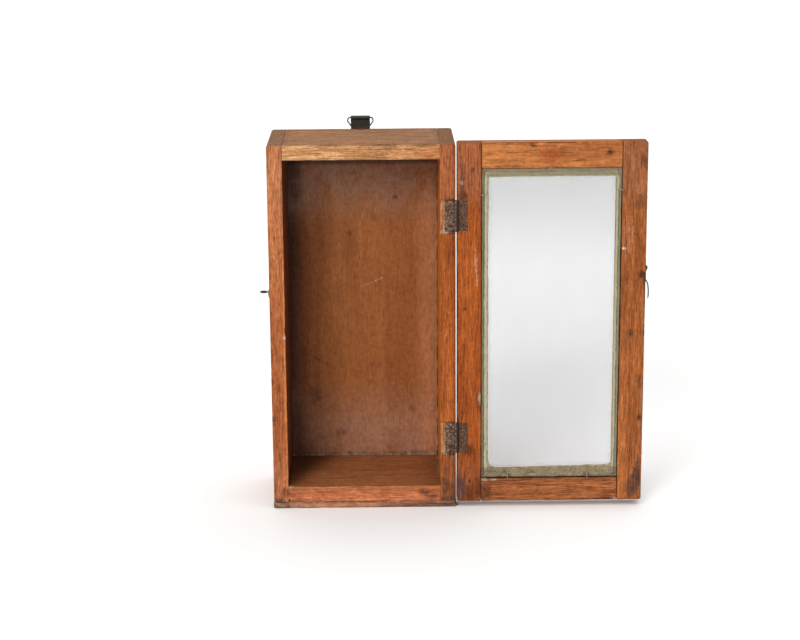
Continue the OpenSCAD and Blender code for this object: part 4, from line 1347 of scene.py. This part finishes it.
def sprigs():
    """Small headless brads that hold the glass, driven into the frame and bent a little."""
    shapes = []
    for middle in nail_places("glazing_sprigs", Y, (putty_low.y + putty_high.y) / 2):
        x, z = middle.x, middle.z
        # distance from a wall of the rebate, place on that wall, and the sprig's direction
        walls = ((abs(x - rebate_left), (rebate_left, z), (1, 0)),
                 (abs(x - rebate_right), (rebate_right, z), (-1, 0)),
                 (abs(z - rebate_low), (x, rebate_low), (0.1, 1)),
                 (abs(z - rebate_high), (x, rebate_high), (-0.79, -0.62)))
        _, (x, z), (dx, dz) = min(walls)
        start, across = Vector((x, front + 0.5, z)), Vector((dx, 0, dz))
        shows = LONG_SPRIG_SHOWS if dz < -0.5 else SPRIG_SHOWS
        bend = 0.4 * Vector((dz, 0, -dx)) * hum(middle, 30, 5)
        line = [start - across * 1.2 + Vector((0, 0.4, 0)), start,
                start + across * 0.5 * shows + Vector((0, 0.5, 0)),
                start + across * shows + bend + Vector((0, 1.6, 0))]
        shapes.append(tube_shape(curve_through(line, 5), SPRIG_R, 10, seed=middle.z, rough=0.12))
    return wire_piece("sprigs", sprig_finish, *shapes)


keep(sprigs(), "door", "nail_steel", "glazing_sprigs")

# ---------- latch ----------

hook_low, hook_high = box_mm("latch_hook")
HOOK_R, LOOP_R = 0.6, 2.6
hook_plane_x = hook_low.x + HOOK_R
loop_middle = Vector((hook_plane_x, (hook_low.y + hook_low.y + 2 * (LOOP_R + HOOK_R)) / 2,
                      hook_high.z - LOOP_R - HOOK_R))


def hook():
    c = loop_middle
    loop = [c + LOOP_R * Vector((0, *turn(a))) for a in range(236, -61, -37)]
    bend_x = hook_high.x - HOOK_R
    tip_start = hook_low.z + 3.5 + HOOK_R
    line = [(c.x, c.y + 0.1, c.z - LOOP_R - 1.9), (c.x, c.y, c.z - 7.5),
            (c.x + 0.2, c.y, c.z - 10.2),
            (bend_x - 0.8, c.y + 0.1, c.z - 13.6), (bend_x - 0.1, c.y, c.z - 19),
            (bend_x, c.y, tip_start + 1), (bend_x, c.y + 1.2, tip_start - 1),
            (bend_x, c.y + 3.3, tip_start - 3.1)]
    return wire_piece("hook", wire_finish, tube_shape(curve_through(loop + line, 7), HOOK_R - 0.02,
                                                      12,
                                                      seed=4, rough=0.05, point=5))


keep(hook(), "hook", "wire_steel", "latch_hook")

eye_low, eye_high = box_mm("case_screw_eye")
EYE_R, EYE_WIRE = 2.7, 0.65


def screw_eye():
    c = Vector((eye_low.x + EYE_R + EYE_WIRE, (eye_low.y + eye_high.y) / 2,
                (eye_low.z + eye_high.z) / 2))
    ring = [c + EYE_R * Vector((*turn(a), 0)) for a in range(24, 337, 26)]
    stem = [c + Vector((EYE_R + 1.1, -0.15, 0)), Vector((left_low.x - 0.4, c.y, c.z)),
            Vector((left_low.x + 3, c.y, c.z))]
    return wire_piece("screw_eye", wire_finish, tube_shape(curve_through(ring + stem, 5), EYE_WIRE,
                                                           12,
                                                           seed=6, rough=0.05))


keep(screw_eye(), "case", "wire_steel", "case_screw_eye")

# ---------- hanger ----------

plate_low, plate_high = box_mm("hanger_plate")
ring_low, ring_high = box_mm("hanger_ring")
SHEET, ROLL_R, RING_R = 1.1, 1.8, 0.6
roll = Vector((plate_high.y - ROLL_R, plate_high.z - ROLL_R))
hanger_x = (plate_low.x + plate_high.x) / 2


DIMPLES_BELOW_ROLL = 3.3, 6.8
STRAP_STEPS, STRAP_RUNS = 26, 36
STRAP_CORNER_R = 3


def hanger_strap():
    """A steel strap rolled forward over the ring's bar."""
    half = (plate_high.x - plate_low.x) / 2
    low_z = plate_low.z
    outer = [roll + ROLL_R * turn(a) for a in range(0, 286, 15)]
    inner = [roll + (ROLL_R - SHEET) * turn(a) for a in range(285, -1, -15)]
    rise = [(roll.y - low_z) * k / STRAP_STEPS for k in range(STRAP_STEPS + 1)]
    back_face = [Vector((plate_high.y, low_z + d)) for d in rise[:-1]]
    front_face = [Vector((plate_high.y - SHEET, roll.y - d)) for d in rise[1:]]
    section = back_face + outer + inner + front_face
    points, faces = [], []
    for s in range(STRAP_RUNS + 1):
        x = -half + 2 * half * s / STRAP_RUNS
        over = max(0, abs(x) - (half - STRAP_CORNER_R))
        lift = STRAP_CORNER_R - math.sqrt(max(0, STRAP_CORNER_R ** 2 - over * over))
        worn = 0.12 if s in (0, STRAP_RUNS) else 0.0
        for y, z in section:
            z = max(z, low_z + lift)
            y += 0.06 * hum((x, y, z), 6, 3)
            for below in DIMPLES_BELOW_ROLL:
                y += 0.28 * math.exp(-((x + 0.2) ** 2 + (z - roll.y + below) ** 2) / 0.5)
            points.append((hanger_x + x, y + (worn if y < plate_high.y - 0.5 else -worn), z))
    row = len(section)
    for s in range(STRAP_RUNS):
        faces += strip(s * row, (s + 1) * row, row)
    faces += caps(0, STRAP_RUNS * row, row)
    return to_object("hanger_strap", points, faces, black_finish)


keep(hanger_strap(), "case", "black_steel", "hanger_plate")


def wall_ring():
    bar_z = ring_high.z - RING_R
    depth = bar_z - ring_low.z - RING_R
    half = (ring_high.x - ring_low.x) / 2 - RING_R
    bend = [(8.3, 0), (half * 0.92, -0.4), (half, -0.31 * depth), (half * 0.86, -0.58 * depth),
            (half * 0.68, -0.86 * depth), (half * 0.3, -depth)]
    line = [(-5, 0), (0, 0), (5, 0)] + bend + [(-x, z) for x, z in reversed(bend)]
    path = curve_through([(hanger_x + x, roll.x, bar_z + z) for x, z in line], 6, closed=True)
    return wire_piece("wall_ring", ring_finish, tube_shape(path, RING_R, 12, closed=True, seed=8,
                                                           rough=0.04))


keep(wall_ring(), "ring", "black_steel", "hanger_ring")

# ---------- small parts that keep their CAD shape ----------

for node in ("upper_hinge_case_leaf", "lower_hinge_case_leaf", "upper_hinge_door_leaf",
             "lower_hinge_door_leaf",
             "upper_hinge_pin", "lower_hinge_pin"):
    dress(node, hinge_finish)
for node in ("case_hinge_screws", "door_hinge_screws"):
    dress(node, screw_finish)
for node in ("carcass_nails", "base_nails", "back_panel_pins"):
    dress(node, nail_finish)
dress("hanger_screws", black_finish)
dress("hook_pivot_screw", wire_finish)
dress("eye_washer", brass_finish)
